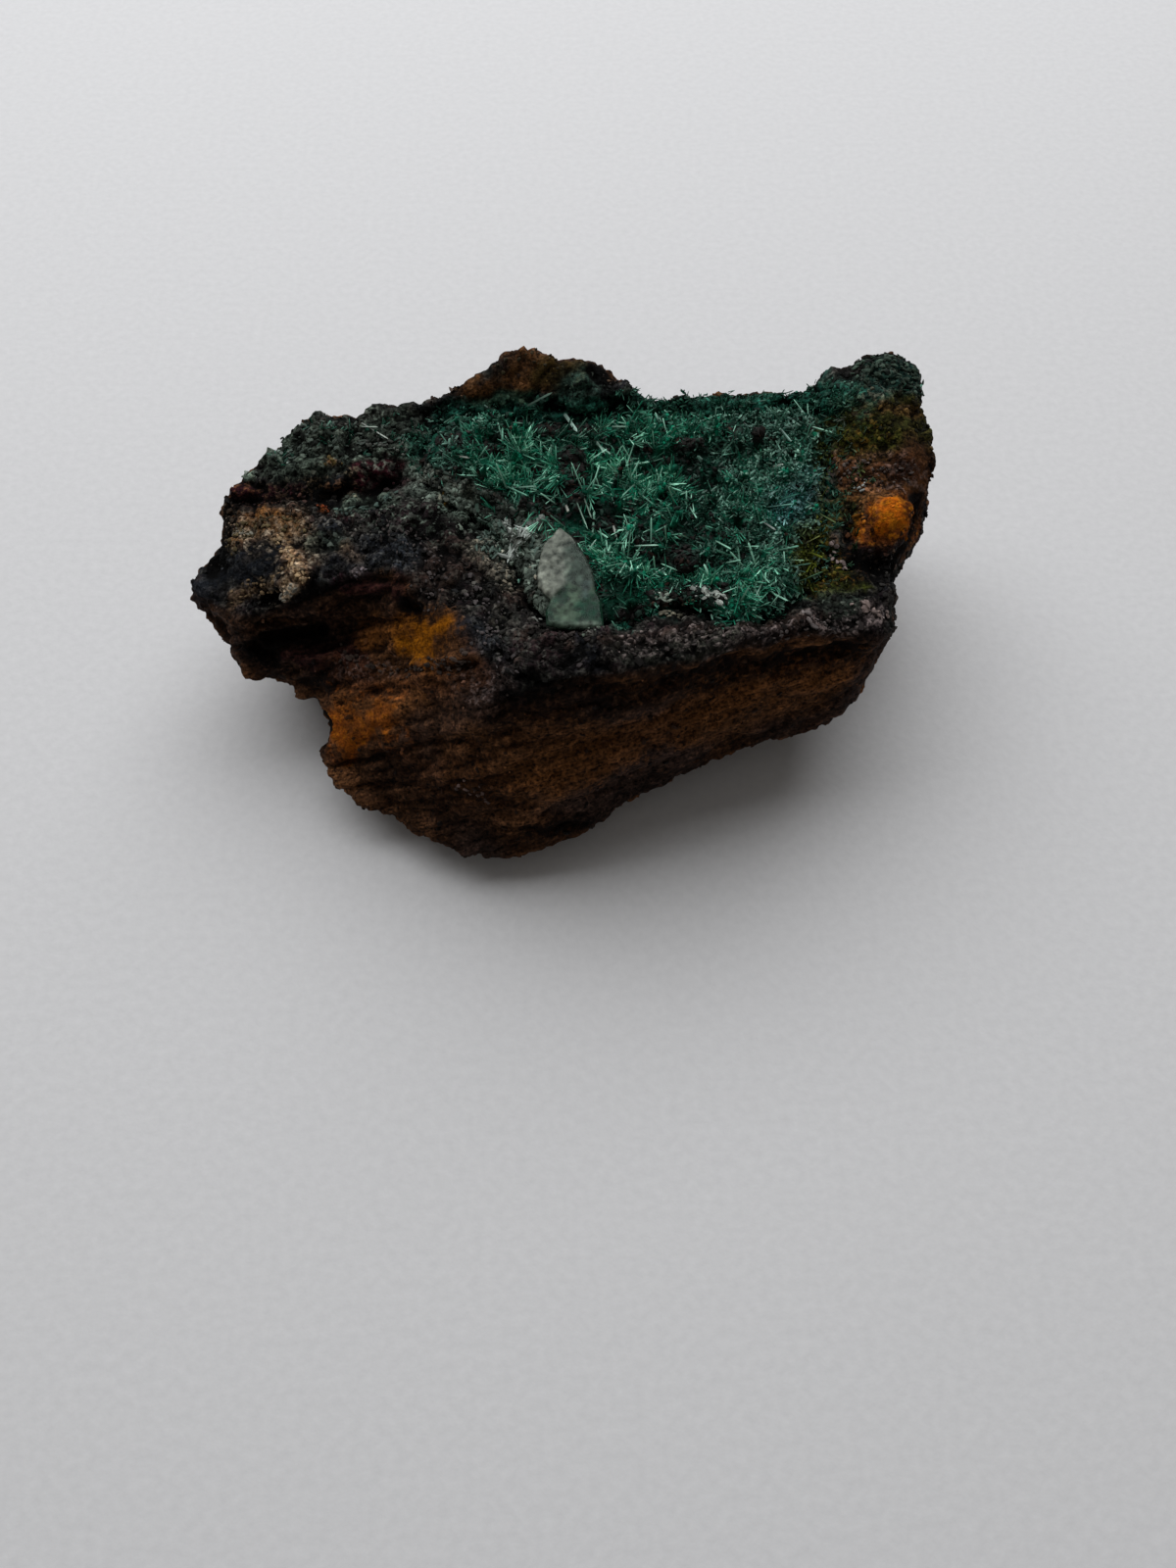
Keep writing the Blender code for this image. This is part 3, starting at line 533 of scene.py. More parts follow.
def shape_rock():
    """Pushes the rock's skin along its normals: uneven blocks on the granular top and the hidden
    sides, layers and crumbs on the broken face, and the named cuts. Cells and heights are in
    millimetres. The foot stays flat and the top stays low enough. Returns the push of the fine relief
    and the cuts, and how smooth each place is."""
    points = rock.points
    uneven = warped(points, 0.9 * MM, 0.30 * MM, 12)
    broad = layered_noise(points, 2.2 * MM, 3, 3) * 0.26 * MM
    height, crevice = blocks(uneven, 1.25 * MM, 6)
    small_height, small_crevice = blocks(uneven, 0.60 * MM, 7)
    grainy = (0.16 * height + 0.24 * smooth_step(crevice / 0.35) - 0.12) * MM
    grainy += (0.08 * small_height + 0.13 * smooth_step(small_crevice / 0.45) - 0.07) * MM
    grainy += value_noise(points, 0.30 * MM, 8) * 0.06 * MM
    layers = layered_noise(bedding_place(points, 7.0), 2.4 * MM, 9, 4) * 0.17 * MM
    slab, joint = blocks(bedding_place(uneven, 3.4), 1.9 * MM, 10)
    rough = (0.10 * slab + 0.11 * smooth_step(joint / 0.3) - 0.07) * MM
    rough += (crumbs(uneven, 0.7 * MM, 11) - 0.45) * 0.14 * MM
    granular = np.clip(on_top + 0.65 * unseen, 0, 1)
    smooth_nose = rock.near([(196, 602), (214, 592), (240, 584), (270, 576)], 1.5)
    smooth_lump = rock.near([(900, 532), (914, 534)], 2.2)
    smooth_lump = np.maximum(smooth_lump, rock.near([(940, 465), (938, 510)], 1.6))
    powdery = np.maximum(rock.area(OCHRE_PATCH, soft=10), rock.area(ORANGE_PATCH, soft=10))
    powdery = np.maximum(powdery, 0.9 * rock.area(CREST, soft=10))
    right_side = smooth_step((rock.column - 835) / 30) * on_top
    calm_places = (1 - 0.75 * smooth_nose) * (1 - 0.80 * smooth_lump) * (1 - 0.55 * powdery)
    calm_places *= 1 - 0.35 * right_side
    layers *= 1 - 0.65 * smooth_step((rock.column - 500) / 80)
    fine = (grainy * granular + (layers + rough) * (1 - 0.75 * granular)) * calm_places
    cuts = np.zeros(len(points))
    for places, radius, push in CUTS:
        cuts += rock.near(places, radius) * push * MM
    calm = smooth_step(points[:, 2] / (1.2 * MM))
    push = (broad + fine + cuts) * calm
    room = cad_box[1][2] + TOP_ROOM - points[:, 2]
    push = np.minimum(push, room / np.maximum(rock.normals[:, 2], 0.05))
    rock.points = points + rock.normals * push[:, None]
    rock.refresh()
    return (fine + cuts) * calm, np.clip(smooth_nose * 0.6 + smooth_lump + powdery * 0.6, 0, 1)


def paint(colours, mask, colour):
    """Lays a colour over the colours where the mask is one."""
    colours += (np.array(colour) - colours) * np.clip(mask, 0, 1)[:, None]


# Mottling of the granular top: colour, seed, cell in millimetres, strength
MOTTLES = [
    (DULL_EARTH, 22, 1.6, 0.6), (BLUE_BLACK, 23, 1.3, 0.9), (DARK_PLUM, 24, 1.1, 0.7),
    (GREY_GREEN, 25, 1.2, 0.25), (BLACK, 26, 1.5, 0.8),
]

# Areas of colour, the layered hollow's black among them painted shade: outline in the photograph,
# colour, colour of the flecks, strength
AREAS = [
    # The layered hollow's black is painted shade in the recess under the crust's overhang
    (LAYERED_HOLLOW, BLACK, DULL_EARTH, 0.7), (CREST, BROWN, CREST_BROWN, 0.95),
    (BROWN_PATCH, BROWN, RUST, 0.95), (OLIVE_SIDE, OLIVE, OCHRE_OLIVE, 0.9),
    (HORN, TEAL, PALE_GREEN, 0.6), (TAN_PATCH, TAN_BROWN, CREAM, 0.35),
    (GREEN_FIELD, DARK_FIELD, TEAL, 1.0), (OCHRE_PATCH, OCHRE, BRIGHT_OCHRE, 1.0),
    (ORANGE_PATCH, ORANGE, BRIGHT_OCHRE, 0.9), (MOSS_LOW, MOSS, BRIGHT_MOSS, 0.9),
    (LUMP, LUMP_ORANGE, BRIGHT_OCHRE, 1.0),
]

# Spots of colour, some of them painted shade and painted light as marked: colour, photograph places
# along a line, radius in millimetres, strength
SPOTS = [
    (GREY_GREEN, [(300, 465), (340, 450), (390, 440)], 2.4, 0.6),
    (BLACK, [(310, 440), (350, 430), (400, 424)], 0.9, 0.6),
    # Painted shade in the furrow across the left crust
    (BLACK, [(236, 500), (290, 505), (340, 500), (400, 490)], 0.9, 0.9),
    (MAROON, [(240, 506), (300, 506)], 0.6, 0.7),
    (MAROON, [(376, 486), (400, 480), (422, 490)], 0.75, 0.9),
    (MAROON, [(345, 520), (352, 526)], 0.45, 0.8),
    (ORANGE, [(327, 514), (332, 518)], 0.26, 0.9),
    (OCHRE, [(336, 468), (342, 472)], 0.32, 0.35),
    (OCHRE, [(452, 510), (458, 512)], 0.35, 0.4),
    (GREY_GREEN, [(352, 516), (392, 510)], 0.8, 0.85),
    (PALE_GREEN, [(376, 510), (392, 506)], 0.35, 0.6),
    (CORNER_GREY, [(430, 492), (470, 515), (505, 535), (530, 560), (535, 590)], 1.1, 0.9),
    (CORNER_GREY, [(500, 560), (520, 590)], 0.9, 0.6),
    (CORNER_GREY, [(436, 484), (462, 494), (484, 504)], 0.8, 0.9),
    (PALE_GREEN, [(462, 520), (480, 530)], 0.4, 0.4),
    (TAN_BROWN, [(235, 545), (262, 528), (300, 533)], 0.9, 0.8),
    (OCHRE, [(240, 524), (290, 522)], 0.35, 0.25),
    (CREAM, [(240, 540), (254, 544)], 0.35, 0.55),
    (GREY_GREEN, [(322, 548), (342, 556)], 0.8, 0.6),
    (TAN, [(350, 556), (358, 566)], 0.5, 0.6),
    (PALE_TAN, [(283, 548), (298, 570), (312, 588)], 0.50, 1.0),
    (CREAM, [(286, 552), (300, 572), (310, 586)], 0.22, 0.9),
    (TAN, [(240, 604), (262, 600), (292, 604)], 0.65, 0.6),
    (CREAM, [(285, 612), (296, 606), (302, 598)], 0.35, 0.5),
    (BLUE_BLACK, [(196, 602), (214, 592), (240, 580), (272, 570)], 1.25, 1.0),
    (GREY_ROCK, [(254, 568), (266, 562)], 0.35, 0.9),
    (PINK_GREY, [(362, 580), (370, 584)], 0.26, 0.8),
    (PALE_GREEN, [(287, 462), (294, 468)], 0.30, 0.8),
    (PALE_GREEN, [(249, 480), (252, 486)], 0.28, 0.9),
    (BLUE_BLACK, [(350, 572), (400, 560), (430, 560)], 1.4, 0.7),
    (BLACK, [(330, 560), (345, 580)], 0.6, 0.6),
    (BLACK, [(440, 545), (436, 580), (452, 610)], 0.8, 0.5),
    (BLUE_BLACK, [(500, 690), (510, 705)], 1.2, 0.7),
    (BLUE_BLACK, [(478, 640), (500, 650)], 1.1, 0.8),
    (MAROON, [(300, 670), (350, 664), (372, 690)], 1.0, 0.5),
    (MAROON, [(350, 600), (400, 600)], 0.7, 0.6),
    (OCHRE, [(372, 652), (392, 646)], 0.5, 0.35),
    (RUST, [(372, 650), (410, 640)], 0.9, 0.6),
    (RUST, [(350, 724), (400, 720), (450, 700)], 1.3, 0.45),
    (DARK_RUST, [(332, 740), (336, 775)], 0.5, 0.8),
    (DULL_EARTH, [(420, 740), (480, 720), (500, 700)], 1.2, 0.7),
    (DARK_RUST, [(335, 688), (380, 696), (440, 694), (480, 684)], 0.9, 0.65),
    (DARK_RUST, [(430, 790), (500, 800)], 1.6, 0.5),
    (RUST, [(560, 790), (640, 760), (720, 730), (800, 700), (850, 688)], 1.3, 0.6),
    (RUST, [(470, 800), (560, 795)], 1.4, 0.4),
    # Painted shade on the ochre lump's lower left side, in two lines
    (DARK_RUST, [(872, 518), (886, 528), (884, 540)], 0.42, 0.85),
    (DARK_RUST, [(884, 552), (905, 555), (924, 550)], 0.40, 0.75),
    # Painted shadow under the overhanging lip of the granular crust, in two lines
    (BLACK, [(520, 728), (600, 716), (700, 700), (800, 678), (895, 664)], 1.1, 0.75),
    (BLACK, [(660, 690), (760, 673), (860, 660)], 0.6, 0.7),
    # Painted shade in the pits and cavities cut into the broken face
    (BLACK, [(268, 652), (300, 650), (330, 646)], 0.6, 0.9),
    (BLACK, [(254, 662), (280, 674)], 0.6, 0.9),
    (BLACK, [(264, 614), (284, 606)], 0.6, 0.95),
    (BLACK, [(414, 616), (426, 630)], 0.5, 0.9),
    # Painted shade along the bottom edge, where the broken face turns under towards the floor
    (BLACK, [(430, 850), (520, 862), (600, 842), (680, 800), (780, 752), (860, 720)], 1.0, 0.55),
    (BLACK, [(540, 848), (600, 842)], 0.9, 0.7),
    (PINK_GREY, [(885, 622), (896, 628)], 0.55, 0.7),
    (PINK_GREY, [(828, 624), (834, 636)], 0.30, 0.6),
    (GREY_GREEN, [(845, 615), (870, 612)], 0.8, 0.7),
    (BLACK, [(520, 702), (640, 682), (760, 658), (880, 650)], 0.8, 0.5),
    (DULL_EARTH, [(640, 660), (740, 646), (830, 636)], 1.0, 0.55),
    (PINK_GREY, [(640, 655), (700, 648), (790, 642)], 0.4, 0.14),
    (BLACK, [(298, 694), (315, 698), (332, 702)], 0.6, 0.75),
    (GREY_GREEN, [(640, 668), (700, 660), (745, 652)], 0.8, 0.4),
    # Painted shade in the pocket beneath the lump
    (BLACK, [(870, 572), (900, 580), (920, 574)], 0.85, 0.95),
    (OLIVE, [(838, 540), (862, 520)], 1.1, 0.7),
    (MOSS, [(850, 440), (870, 455), (905, 445)], 1.0, 0.7),
    (BROWN, [(900, 418), (940, 422)], 0.5, 0.5),
    (DARK_BROWN, [(940, 462), (944, 490), (938, 515)], 1.3, 0.95),
    (RUST, [(942, 474), (944, 500)], 0.8, 0.7),
    (BLACK, [(924, 478), (922, 500), (930, 520)], 0.45, 0.8),
    # Painted shadow lines in the lump's creases, in two lines
    (DARK_RUST, [(888, 518), (892, 526), (889, 533)], 0.28, 0.85),
    (DARK_RUST, [(900, 548), (912, 541), (922, 546)], 0.18, 0.7),
    # Painted shade in the pocket beneath the lump
    (BLACK, [(878, 582), (905, 588)], 0.8, 0.9),
    (DARK_RUST, [(870, 480), (900, 472), (930, 480)], 1.0, 0.7),
    (DULL_EARTH, [(590, 488)], 1.0, 0.8),
    (OLIVE, [(560, 385), (590, 378)], 1.0, 0.6),
    (DARK_SLATE, [(582, 408), (600, 390)], 1.5, 0.95),
    (BLACK, [(560, 412), (600, 414)], 0.5, 0.4),
    (OLIVE, [(660, 408), (690, 408)], 0.9, 0.7),
    (BLACK, [(640, 402), (700, 405), (760, 399), (830, 392)], 0.5, 0.5),
    (GREY_GREEN, [(640, 398), (700, 402), (760, 396), (830, 388)], 0.4, 0.6),
    # Painted light: the far rim's inner wall, in the two lines below, made a lighter green against its shade
    (LIT_RIM_GREEN, [(646, 408), (700, 411), (760, 407), (830, 402), (860, 404)], 0.8, 0.95),
    (LIT_RIM_GREEN, [(450, 420), (520, 414), (560, 416), (600, 420), (640, 416)], 0.6, 0.8),
    (BLACK, [(625, 404), (640, 410)], 0.8, 0.8),
    # Painted shade in a pit cut into the rock
    (BLACK, [(541, 606), (556, 628)], 0.7, 0.9),
    (DULL_EARTH, [(440, 600), (450, 560), (520, 580), (525, 600)], 0.9, 0.5),
    (BLACK, [(380, 800), (440, 810), (500, 800)], 1.8, 0.5),
    (BLACK, [(620, 668), (700, 664), (790, 652)], 0.7, 0.5),
]

# Flecks in the rock's colour, fainter and finer than its spots: colour, places, radius, strength
FLECKS = [
    (CREAM, [(240, 545), (280, 552), (300, 580), (280, 605)], 1.0, 0.5),
    (ORANGE, [(290, 560), (310, 590)], 0.6, 0.5),
    (PALE_GREEN, [(300, 465), (340, 450), (390, 440)], 2.2, 0.5),
    (PALE_GREEN, [(352, 512), (392, 516), (470, 530)], 1.2, 0.7),
    (RUST, [(240, 506), (300, 506), (350, 500)], 0.9, 0.5),
    (OCHRE, [(420, 650), (450, 640)], 1.6, 0.5),
    (PINK_GREY, [(350, 680), (400, 684)], 0.7, 0.30),
    (PINK_GREY, [(470, 702), (505, 712)], 0.9, 0.30),
    (ORANGE, [(350, 745), (385, 735)], 2.0, 0.6),
    (RUST, [(560, 800), (700, 740), (850, 690)], 2.4, 0.6),
    (PINK_GREY, [(850, 480), (930, 490)], 1.5, 0.4),
    (OCHRE, [(905, 535)], 1.9, 0.8),
    (OCHRE, [(812, 590), (850, 575), (880, 430)], 1.6, 0.3),
    (PINK_GREY, [(640, 655), (790, 642), (890, 625)], 0.9, 0.6),
    (CREAM, [(520, 590), (500, 560)], 1.0, 0.35),
]


def paint_rock():
    """The rock's colour at each vertex: an earthy base, the areas of the photograph and the spots, some
    of them painted shade and painted light. Returns it with the colour of its flecks."""
    wobble = layered_noise(rock.points, 2.0 * MM, 21, 4)
    mottle = layered_noise(rock.points, 4.5 * MM, 31, 2)
    broken = layered_noise(rock.points, 0.8 * MM, 36, 2)
    colours = np.tile(np.array(EARTH), (len(rock.points), 1))
    paint(colours, smooth_step(mottle * 1.4 + 0.4), DULL_EARTH)
    paint(colours, unseen * smooth_step(wobble * 1.5 - 0.2), GREY_ROCK)
    paint(colours, unseen * smooth_step(mottle * 2.0 - 0.7) * 0.7, RUST)
    paint(colours, on_top, GREY_ROCK)
    for colour, seed, cell, strength in MOTTLES:
        patch = layered_noise(rock.points, cell * MM, seed, 3)
        paint(colours, on_top * smooth_step(patch * 2.2 - 0.25) * strength, colour)
    flecks = colours * 2.0
    paint(flecks, on_top, GREY_FLECK)
    shift = wobble * 16 + broken * 8
    for outline, colour, fleck, strength in AREAS:
        distance = inside_distance(rock.column + shift, rock.row + shift, outline)
        mask = smooth_step(distance / SOFT_EDGE + 0.5) * shown * strength
        paint(colours, mask, colour)
        paint(flecks, mask, fleck)
    for table, base in [(SPOTS, colours), (FLECKS, flecks)]:
        for colour, places, radius, strength in table:
            distance = rock.radii_from(places, radius) + wobble * 0.3 + broken * 0.45
            mask = smooth_step(1.6 - 1.3 * distance) * strength * shown
            paint(base, mask, colour)
            if base is colours:
                paint(flecks, mask * 0.7, np.array(colour) * 1.8)
    return colours, flecks


relief, smoothness = shape_rock()
rock_colours, rock_flecks = paint_rock()
put_colours(rock.piece, "tint", rock_colours)
put_colours(rock.piece, "fleck", rock_flecks)
put_values(rock.piece, "relief", relief / RELIEF_UNIT)
put_values(rock.piece, "bedding", on_front)
put_values(rock.piece, "smoothness", smoothness)


# Dark knobs of rock grains that come up through the green: photograph places along a line, radius
# and rise in millimetres
KNOBS = [
    ([(584, 484), (588, 516)], 1.45, 0.95),
    ([(688, 566), (704, 578)], 1.25, 0.50),
    ([(621, 535)], 0.7, 0.25),
    ([(740, 442), (775, 446)], 0.8, 0.15),
    ([(668, 610), (700, 606), (736, 606)], 0.8, 0.20),
    ([(452, 448), (500, 462)], 0.7, 0.1),
    ([(720, 552), (740, 548)], 0.45, 0.1),
    ([(556, 424), (600, 428)], 0.8, 0.1),
    ([(480, 506), (505, 512)], 0.6, 0.1),
    ([(692, 455), (715, 450)], 0.9, 0.12),
    ([(655, 628), (640, 640)], 0.7, 0.1),
]


def bare_knobs():
    """Where the bed shows rock grains instead of needles: 1 on a knob and in the grey corner, with
    ragged edges. Returns it with how far the knobs rise."""
    bare = np.zeros(len(bed.points))
    rise = np.zeros(len(bed.points))
    for places, radius, height in KNOBS:
        knob = bed.near(places, radius)
        bare = np.maximum(bare, knob)
        rise = np.maximum(rise, knob * height * MM)
    corner = inside_distance(bed.column, bed.row, GREY_CORNER) / SOFT_EDGE + 0.5
    ragged = layered_noise(bed.points, 0.8 * MM, 39, 2)
    bare = smooth_step(bare * 1.6 + ragged * 0.5 - 0.2)
    return np.maximum(bare, smooth_step(corner + ragged)), rise


knob_mask, knob_rise = bare_knobs()


def shape_bed():
    """Pushes the bed of the needles in and out by crumbs, so that the felt has hollows and mounds."""
    uneven = warped(bed.points, 0.9 * MM, 0.30 * MM, 44)
    lumps = (crumbs(uneven, 1.5 * MM, 41) - 0.5) * 0.36 * MM
    fine = (crumbs(uneven, 0.5 * MM, 42) - 0.5) * 0.20 * MM
    bed.points = bed.points + bed.normals * (lumps + fine + knob_rise)[:, None]
    bed.refresh()
    return lumps + fine


bed_relief = shape_bed()

# The darkest hollows between the needles, where the bed and needles get painted shade: photograph
# places along a line, radius in millimetres
DEEP_PLACES = [
    ([(548, 432), (574, 430), (602, 438)], 1.8),
    ([(562, 452), (588, 456)], 1.2),
    ([(628, 598), (638, 620)], 1.9),
]

# What the bed is like at each vertex, from 0 to 1: how thickly needles stand in patches and how evenly
# at the right, the hollows that take painted shade, moss green, bluer green, greyer green, thin growth,
# the grey corner, and how far it faces up
bed_patch = layered_noise(bed.points, 2.6 * MM, 55, 1) + layered_noise(bed.points, 1.1 * MM, 57, 2)
bed_patch = smooth_step(bed_patch * 0.9 + 0.5)
bed_even = smooth_step((bed.column - 690) / 60)
bed_deep = np.max([bed.near(places, radius) for places, radius in DEEP_PLACES], axis=0)
bed_moss = np.clip(bed.area(MOSS_LOW, soft=16) + bed.near([(852, 425), (858, 470), (856, 530)], 0.9), 0, 1)
bed_teal = bed.near([(800, 520), (845, 498)], 1.8)
bed_grey = np.maximum(smooth_step((515 - bed.column) / 70), 0.75 * bed.near([(800, 588), (815, 606)], 1.6))
bed_thin = np.maximum(bed.near([(584, 500), (592, 540)], 1.3), 0.7 * bed.near([(802, 590), (818, 606)], 1.6))
bed_corner = smooth_step(inside_distance(bed.column, bed.row, GREY_CORNER) / SOFT_EDGE)
bed_up = smooth_step(bed.normals[:, 2] * 2)


def paint_bed():
    """The bed's colour at each vertex: deep green with teal, painted shade in the gaps where few needles
    stand and in the deep hollows, and the greys, moss and bare knobs over it."""
    colours = np.tile(np.array(DEEP_GREEN), (len(bed.points), 1))
    paint(colours, smooth_step(layered_noise(bed.points, 1.2 * MM, 51, 2) * 1.2 + 0.3) * 0.6, TEAL)
    # Painted shade in the gaps between the clumps of needles
    paint(colours, 1 - bed_patch, GAP_SHADE_GREEN)
    paint(colours, bed_thin * 0.9, THIN_GREEN)
    # Painted shade in the deep hollows
    paint(colours, np.minimum(bed_deep * 1.5, 0.95), HOLLOW_SHADE_GREEN)
    paint(colours, bed_grey * 0.85, DULL_GREEN)
    paint(colours, bed_moss, MOSS)
    paint(colours, knob_mask * 1.2, GREY_ROCK)
    paint(colours, bed_corner, np.array(CORNER_GREY) * 1.3)
    dark = smooth_step(layered_noise(bed.points, 0.8 * MM, 58, 2) * 2)
    paint(colours, bed_corner * dark, CORNER_SHADE)
    return colours


bed_colours = paint_bed()
put_colours(bed.piece, "tint", bed_colours)
put_values(bed.piece, "relief", bed_relief / RELIEF_UNIT)


def prisms(roots, axes, lengths, widths, sides, shoulder, chance):
    """Needles as arrays, a little flattened: a ring of corners at the root, a ring at the shoulder's
    share of the length and a point at the tip, each turned by a seeded angle round its axis. Returns
    the corners and the faces with four, three and as many corners as sides."""
    count = len(roots)
    across = unit(np.cross(axes, chance.normal(size=(count, 3))))
    beside = np.cross(axes, across)
    angle = 2 * math.pi * np.arange(sides) / sides
    spoke = across[:, None] * np.cos(angle)[:, None] + 0.7 * beside[:, None] * np.sin(angle)[:, None]
    foot = roots[:, None] + spoke * (0.5 * widths)[:, None, None]
    rim = foot + (axes * (shoulder * lengths)[:, None])[:, None]
    tip = roots + axes * lengths[:, None]
    points = np.concatenate([foot, rim, tip[:, None]], axis=1)
    first = (np.arange(count) * (2 * sides + 1))[:, None]
    k = np.arange(sides)
    after = (k + 1) % sides
    walls = np.stack([first + k, first + after, first + sides + after, first + sides + k], -1)
    tips = np.stack([first + sides + k, first + sides + after, first + 2 * sides + 0 * k], -1)
    base = first + k[::-1]
    return points.reshape(-1, 3), [walls.reshape(-1, 4), tips.reshape(-1, 3), base]


def leaning(normals, low, high, chance):
    """Directions that lean away from the normals by a seeded angle between two limits."""
    lean = chance.uniform(low, high, len(normals))[:, None]
    side = unit(np.cross(normals, chance.normal(size=(len(normals), 3))))
    return normals * np.cos(lean) + side * np.sin(lean)


def put_needles(name, roots, axes, lengths, widths, colours, chance, sides, shoulder):
    """A joined piece of needles: each keeps its colour, with painted shade darkening its root and a
    painted highlight brightening its tip.
    """
    points, groups = prisms(roots, axes, lengths, widths, sides, shoulder, chance)
    piece = put_mesh(name, points, groups, False)
    # Painted shade on the root ring, painted highlight on the shoulder and the tip
    root_shade_tip_light = np.r_[np.full(sides, 0.35), np.full(sides, 1.1), 1.3]
    put_colours(piece, "tint", (colours[:, None] * root_shade_tip_light[None, :, None]).reshape(-1, 3))
    return piece


def sprays(skin, count, weight, chance, spread, lean, apart):
    """Roots and directions of sprays of two to eight needles each. The needles diverge by a spread,
    lean along a slowly turning direction, and stand a number of millimetres apart. Also returns the
    vertex nearest to each, and a tone from 0 to 1 that a spray's needles share in part."""
    places, normals, nearest = skin.scatter(count, weight, chance)
    flow = np.stack([value_noise(places, 2.4 * MM, 90 + k) for k in range(3)], axis=1)
    side = unit(np.cross(normals, 0.9 * unit(flow) + 0.55 * chance.normal(size=(count, 3))))
    tilt = chance.uniform(lean - 0.25, lean + 0.25, count)[:, None]
    main = normals * np.cos(tilt) + side * np.sin(tilt)
    number = chance.integers(2, 9, count)
    which = np.repeat(np.arange(count), number)
    axes = unit(main[which] + chance.normal(size=(len(which), 3)) * spread)
    facing = (axes * normals[which]).sum(axis=1)
    axes = unit(axes + normals[which] * np.clip(0.10 - facing, 0, 1)[:, None])
    roots = places[which] + chance.normal(size=(len(which), 3)) * np.array([1.0, 1.0, 0.3]) * apart * MM
    tone = 0.55 * chance.uniform(0, 1, count)[which] + 0.45 * chance.uniform(0, 1, len(which))
    return roots, axes, nearest[which], tone[:, None]


def turned(colours, nearest):
    """Needle colours by what the bed is like at their roots: greyer at the left and in the front right
    corner, olive where moss green grows over the rust, a little bluer at the right, and darkened by
    painted shade in the deep hollows."""
    colours = blend(colours, colours[:, 1:2] * DULL_SHARES, bed_grey[nearest, None] * 0.75)
    colours = blend(colours, colours[:, 1:2] * OLIVE_SHARES, bed_moss[nearest, None])
    # Needles in the deep hollows are darkened by painted shade
    return colours * BLUER ** bed_teal[nearest, None] * (1 - 0.88 * bed_deep[nearest, None])


def round_zone(column, row, wide, high):
    """One at a place of the photograph, fading out over the bed by a bell curve of a width and a
    height in pixels."""
    return np.exp(-(((bed.column - column) / wide) ** 2 + ((bed.row - row) / high) ** 2))


# Where the bed has the long bright needles, how many needles a place has room for, and how free it is
bed_bright = round_zone(630, 520, 110, 110) + 0.8 * round_zone(545, 480, 60, 60)
bed_bright = np.clip(bed_bright + 0.7 * round_zone(762, 602, 42, 28), 0, 1)
bed_room = bed_patch + (0.75 - bed_patch) * 0.7 * bed_even
bed_free = bed_up * (1 - 0.97 * knob_mask) * (0.25 + 0.75 * bed_room) * (1 - 0.92 * bed_deep)
bed_ragged = layered_noise(bed.points, 1.0 * MM, 59, 2)
bed_free *= 0.7 + 0.3 * smooth_step(bed_ragged * 2 + 0.5)
bed_free *= 0.25 + 0.75 * smooth_step((bed.column - 450) / 50 + bed_ragged * 1.2)
bed_free *= 0.20 + 0.80 * smooth_step((862 - bed.column) / 30 + bed_ragged * 1.2)
bed_free *= 1 - 0.85 * bed_thin

# How many sprays and rods of needles stand on the bed, and sprays on the rock
FELT_SPRAYS = 3500
BRIGHT_SPRAYS = 720
RODS = 320
RIM_SPRAYS = 1500


def grow_felt(chance):
    """The felt of the druse: dim short needles everywhere, wider and paler outside the bright zone."""
    weight = bed_free * (1 + 0.8 * bed_even)
    roots, axes, nearest, tone = sprays(bed, FELT_SPRAYS, weight, chance, spread=0.7, lean=1.35, apart=0.20)
    count = len(roots)
    outside = 1 - bed_bright[nearest]
    lengths = chance.uniform(0.15, 0.50, count) * (1 - 0.15 * outside) * MM
    widths = chance.uniform(0.035, 0.075, count) * (1 + 1.3 * outside) * MM
    outside = outside[:, None]
    shade = (0.15 + 1.25 * bed_room[nearest, None]) * (1 + 0.35 * outside)
    base = blend(DARK_EMERALD * 1.5, DUSKY_EMERALD, outside * 0.8)
    pale = SLATE_GREEN * 1.7 + PALE_HAZE * outside
    colours = turned(blend(base, pale, tone ** (4 - outside)) * shade, nearest)
    return put_needles("needle_felt", roots, axes, lengths, widths, colours, chance, sides=3, shoulder=0.8)


def grow_sprays(chance):
    """Sprays of emerald needles, some of them mint, longest and palest in the bright zone. The palest
    take twice the mint: partly their pale colour, partly painted glint.
    """
    weight = bed_free * (0.10 + bed_bright) * bed_patch
    roots, axes, nearest, tone = sprays(bed, BRIGHT_SPRAYS, weight, chance, spread=0.5, lean=1.2, apart=0.10)
    count = len(roots)
    zone = bed_bright[nearest]
    lengths = chance.uniform(0.35, 0.95, count) * (0.8 + 0.5 * zone) * MM
    widths = chance.uniform(0.040, 0.080, count) * MM
    shade = 0.55 + 0.95 * bed_patch[nearest, None]
    share = tone**4 * (0.2 + 0.8 * zone[:, None])
    # Twice the mint is partly the needles' own pale colour and partly painted glint
    colours = turned(blend(EMERALD, MINT * 2.0, share) * shade, nearest)
    return put_needles("needle_sprays", roots, axes, lengths, widths, colours, chance, sides=4, shoulder=0.85)


def grow_rods(chance):
    """Long single rods, most of them in the bright zone."""
    places, normals, nearest = bed.scatter(RODS, bed_free * (0.12 + bed_bright**2), chance)
    axes = leaning(normals, 0.8, 1.45, chance)
    lengths = chance.uniform(0.6, 1.5, RODS) * MM
    widths = chance.uniform(0.06, 0.11, RODS) * MM
    tone = chance.uniform(0.1, 1.0, RODS)[:, None]
    colours = turned(blend(EMERALD, MINT * 1.2, tone), nearest)
    roots = places + normals * 0.12 * MM
    return put_needles("needle_rods", roots, axes, lengths, widths, colours, chance, sides=4, shoulder=0.9)


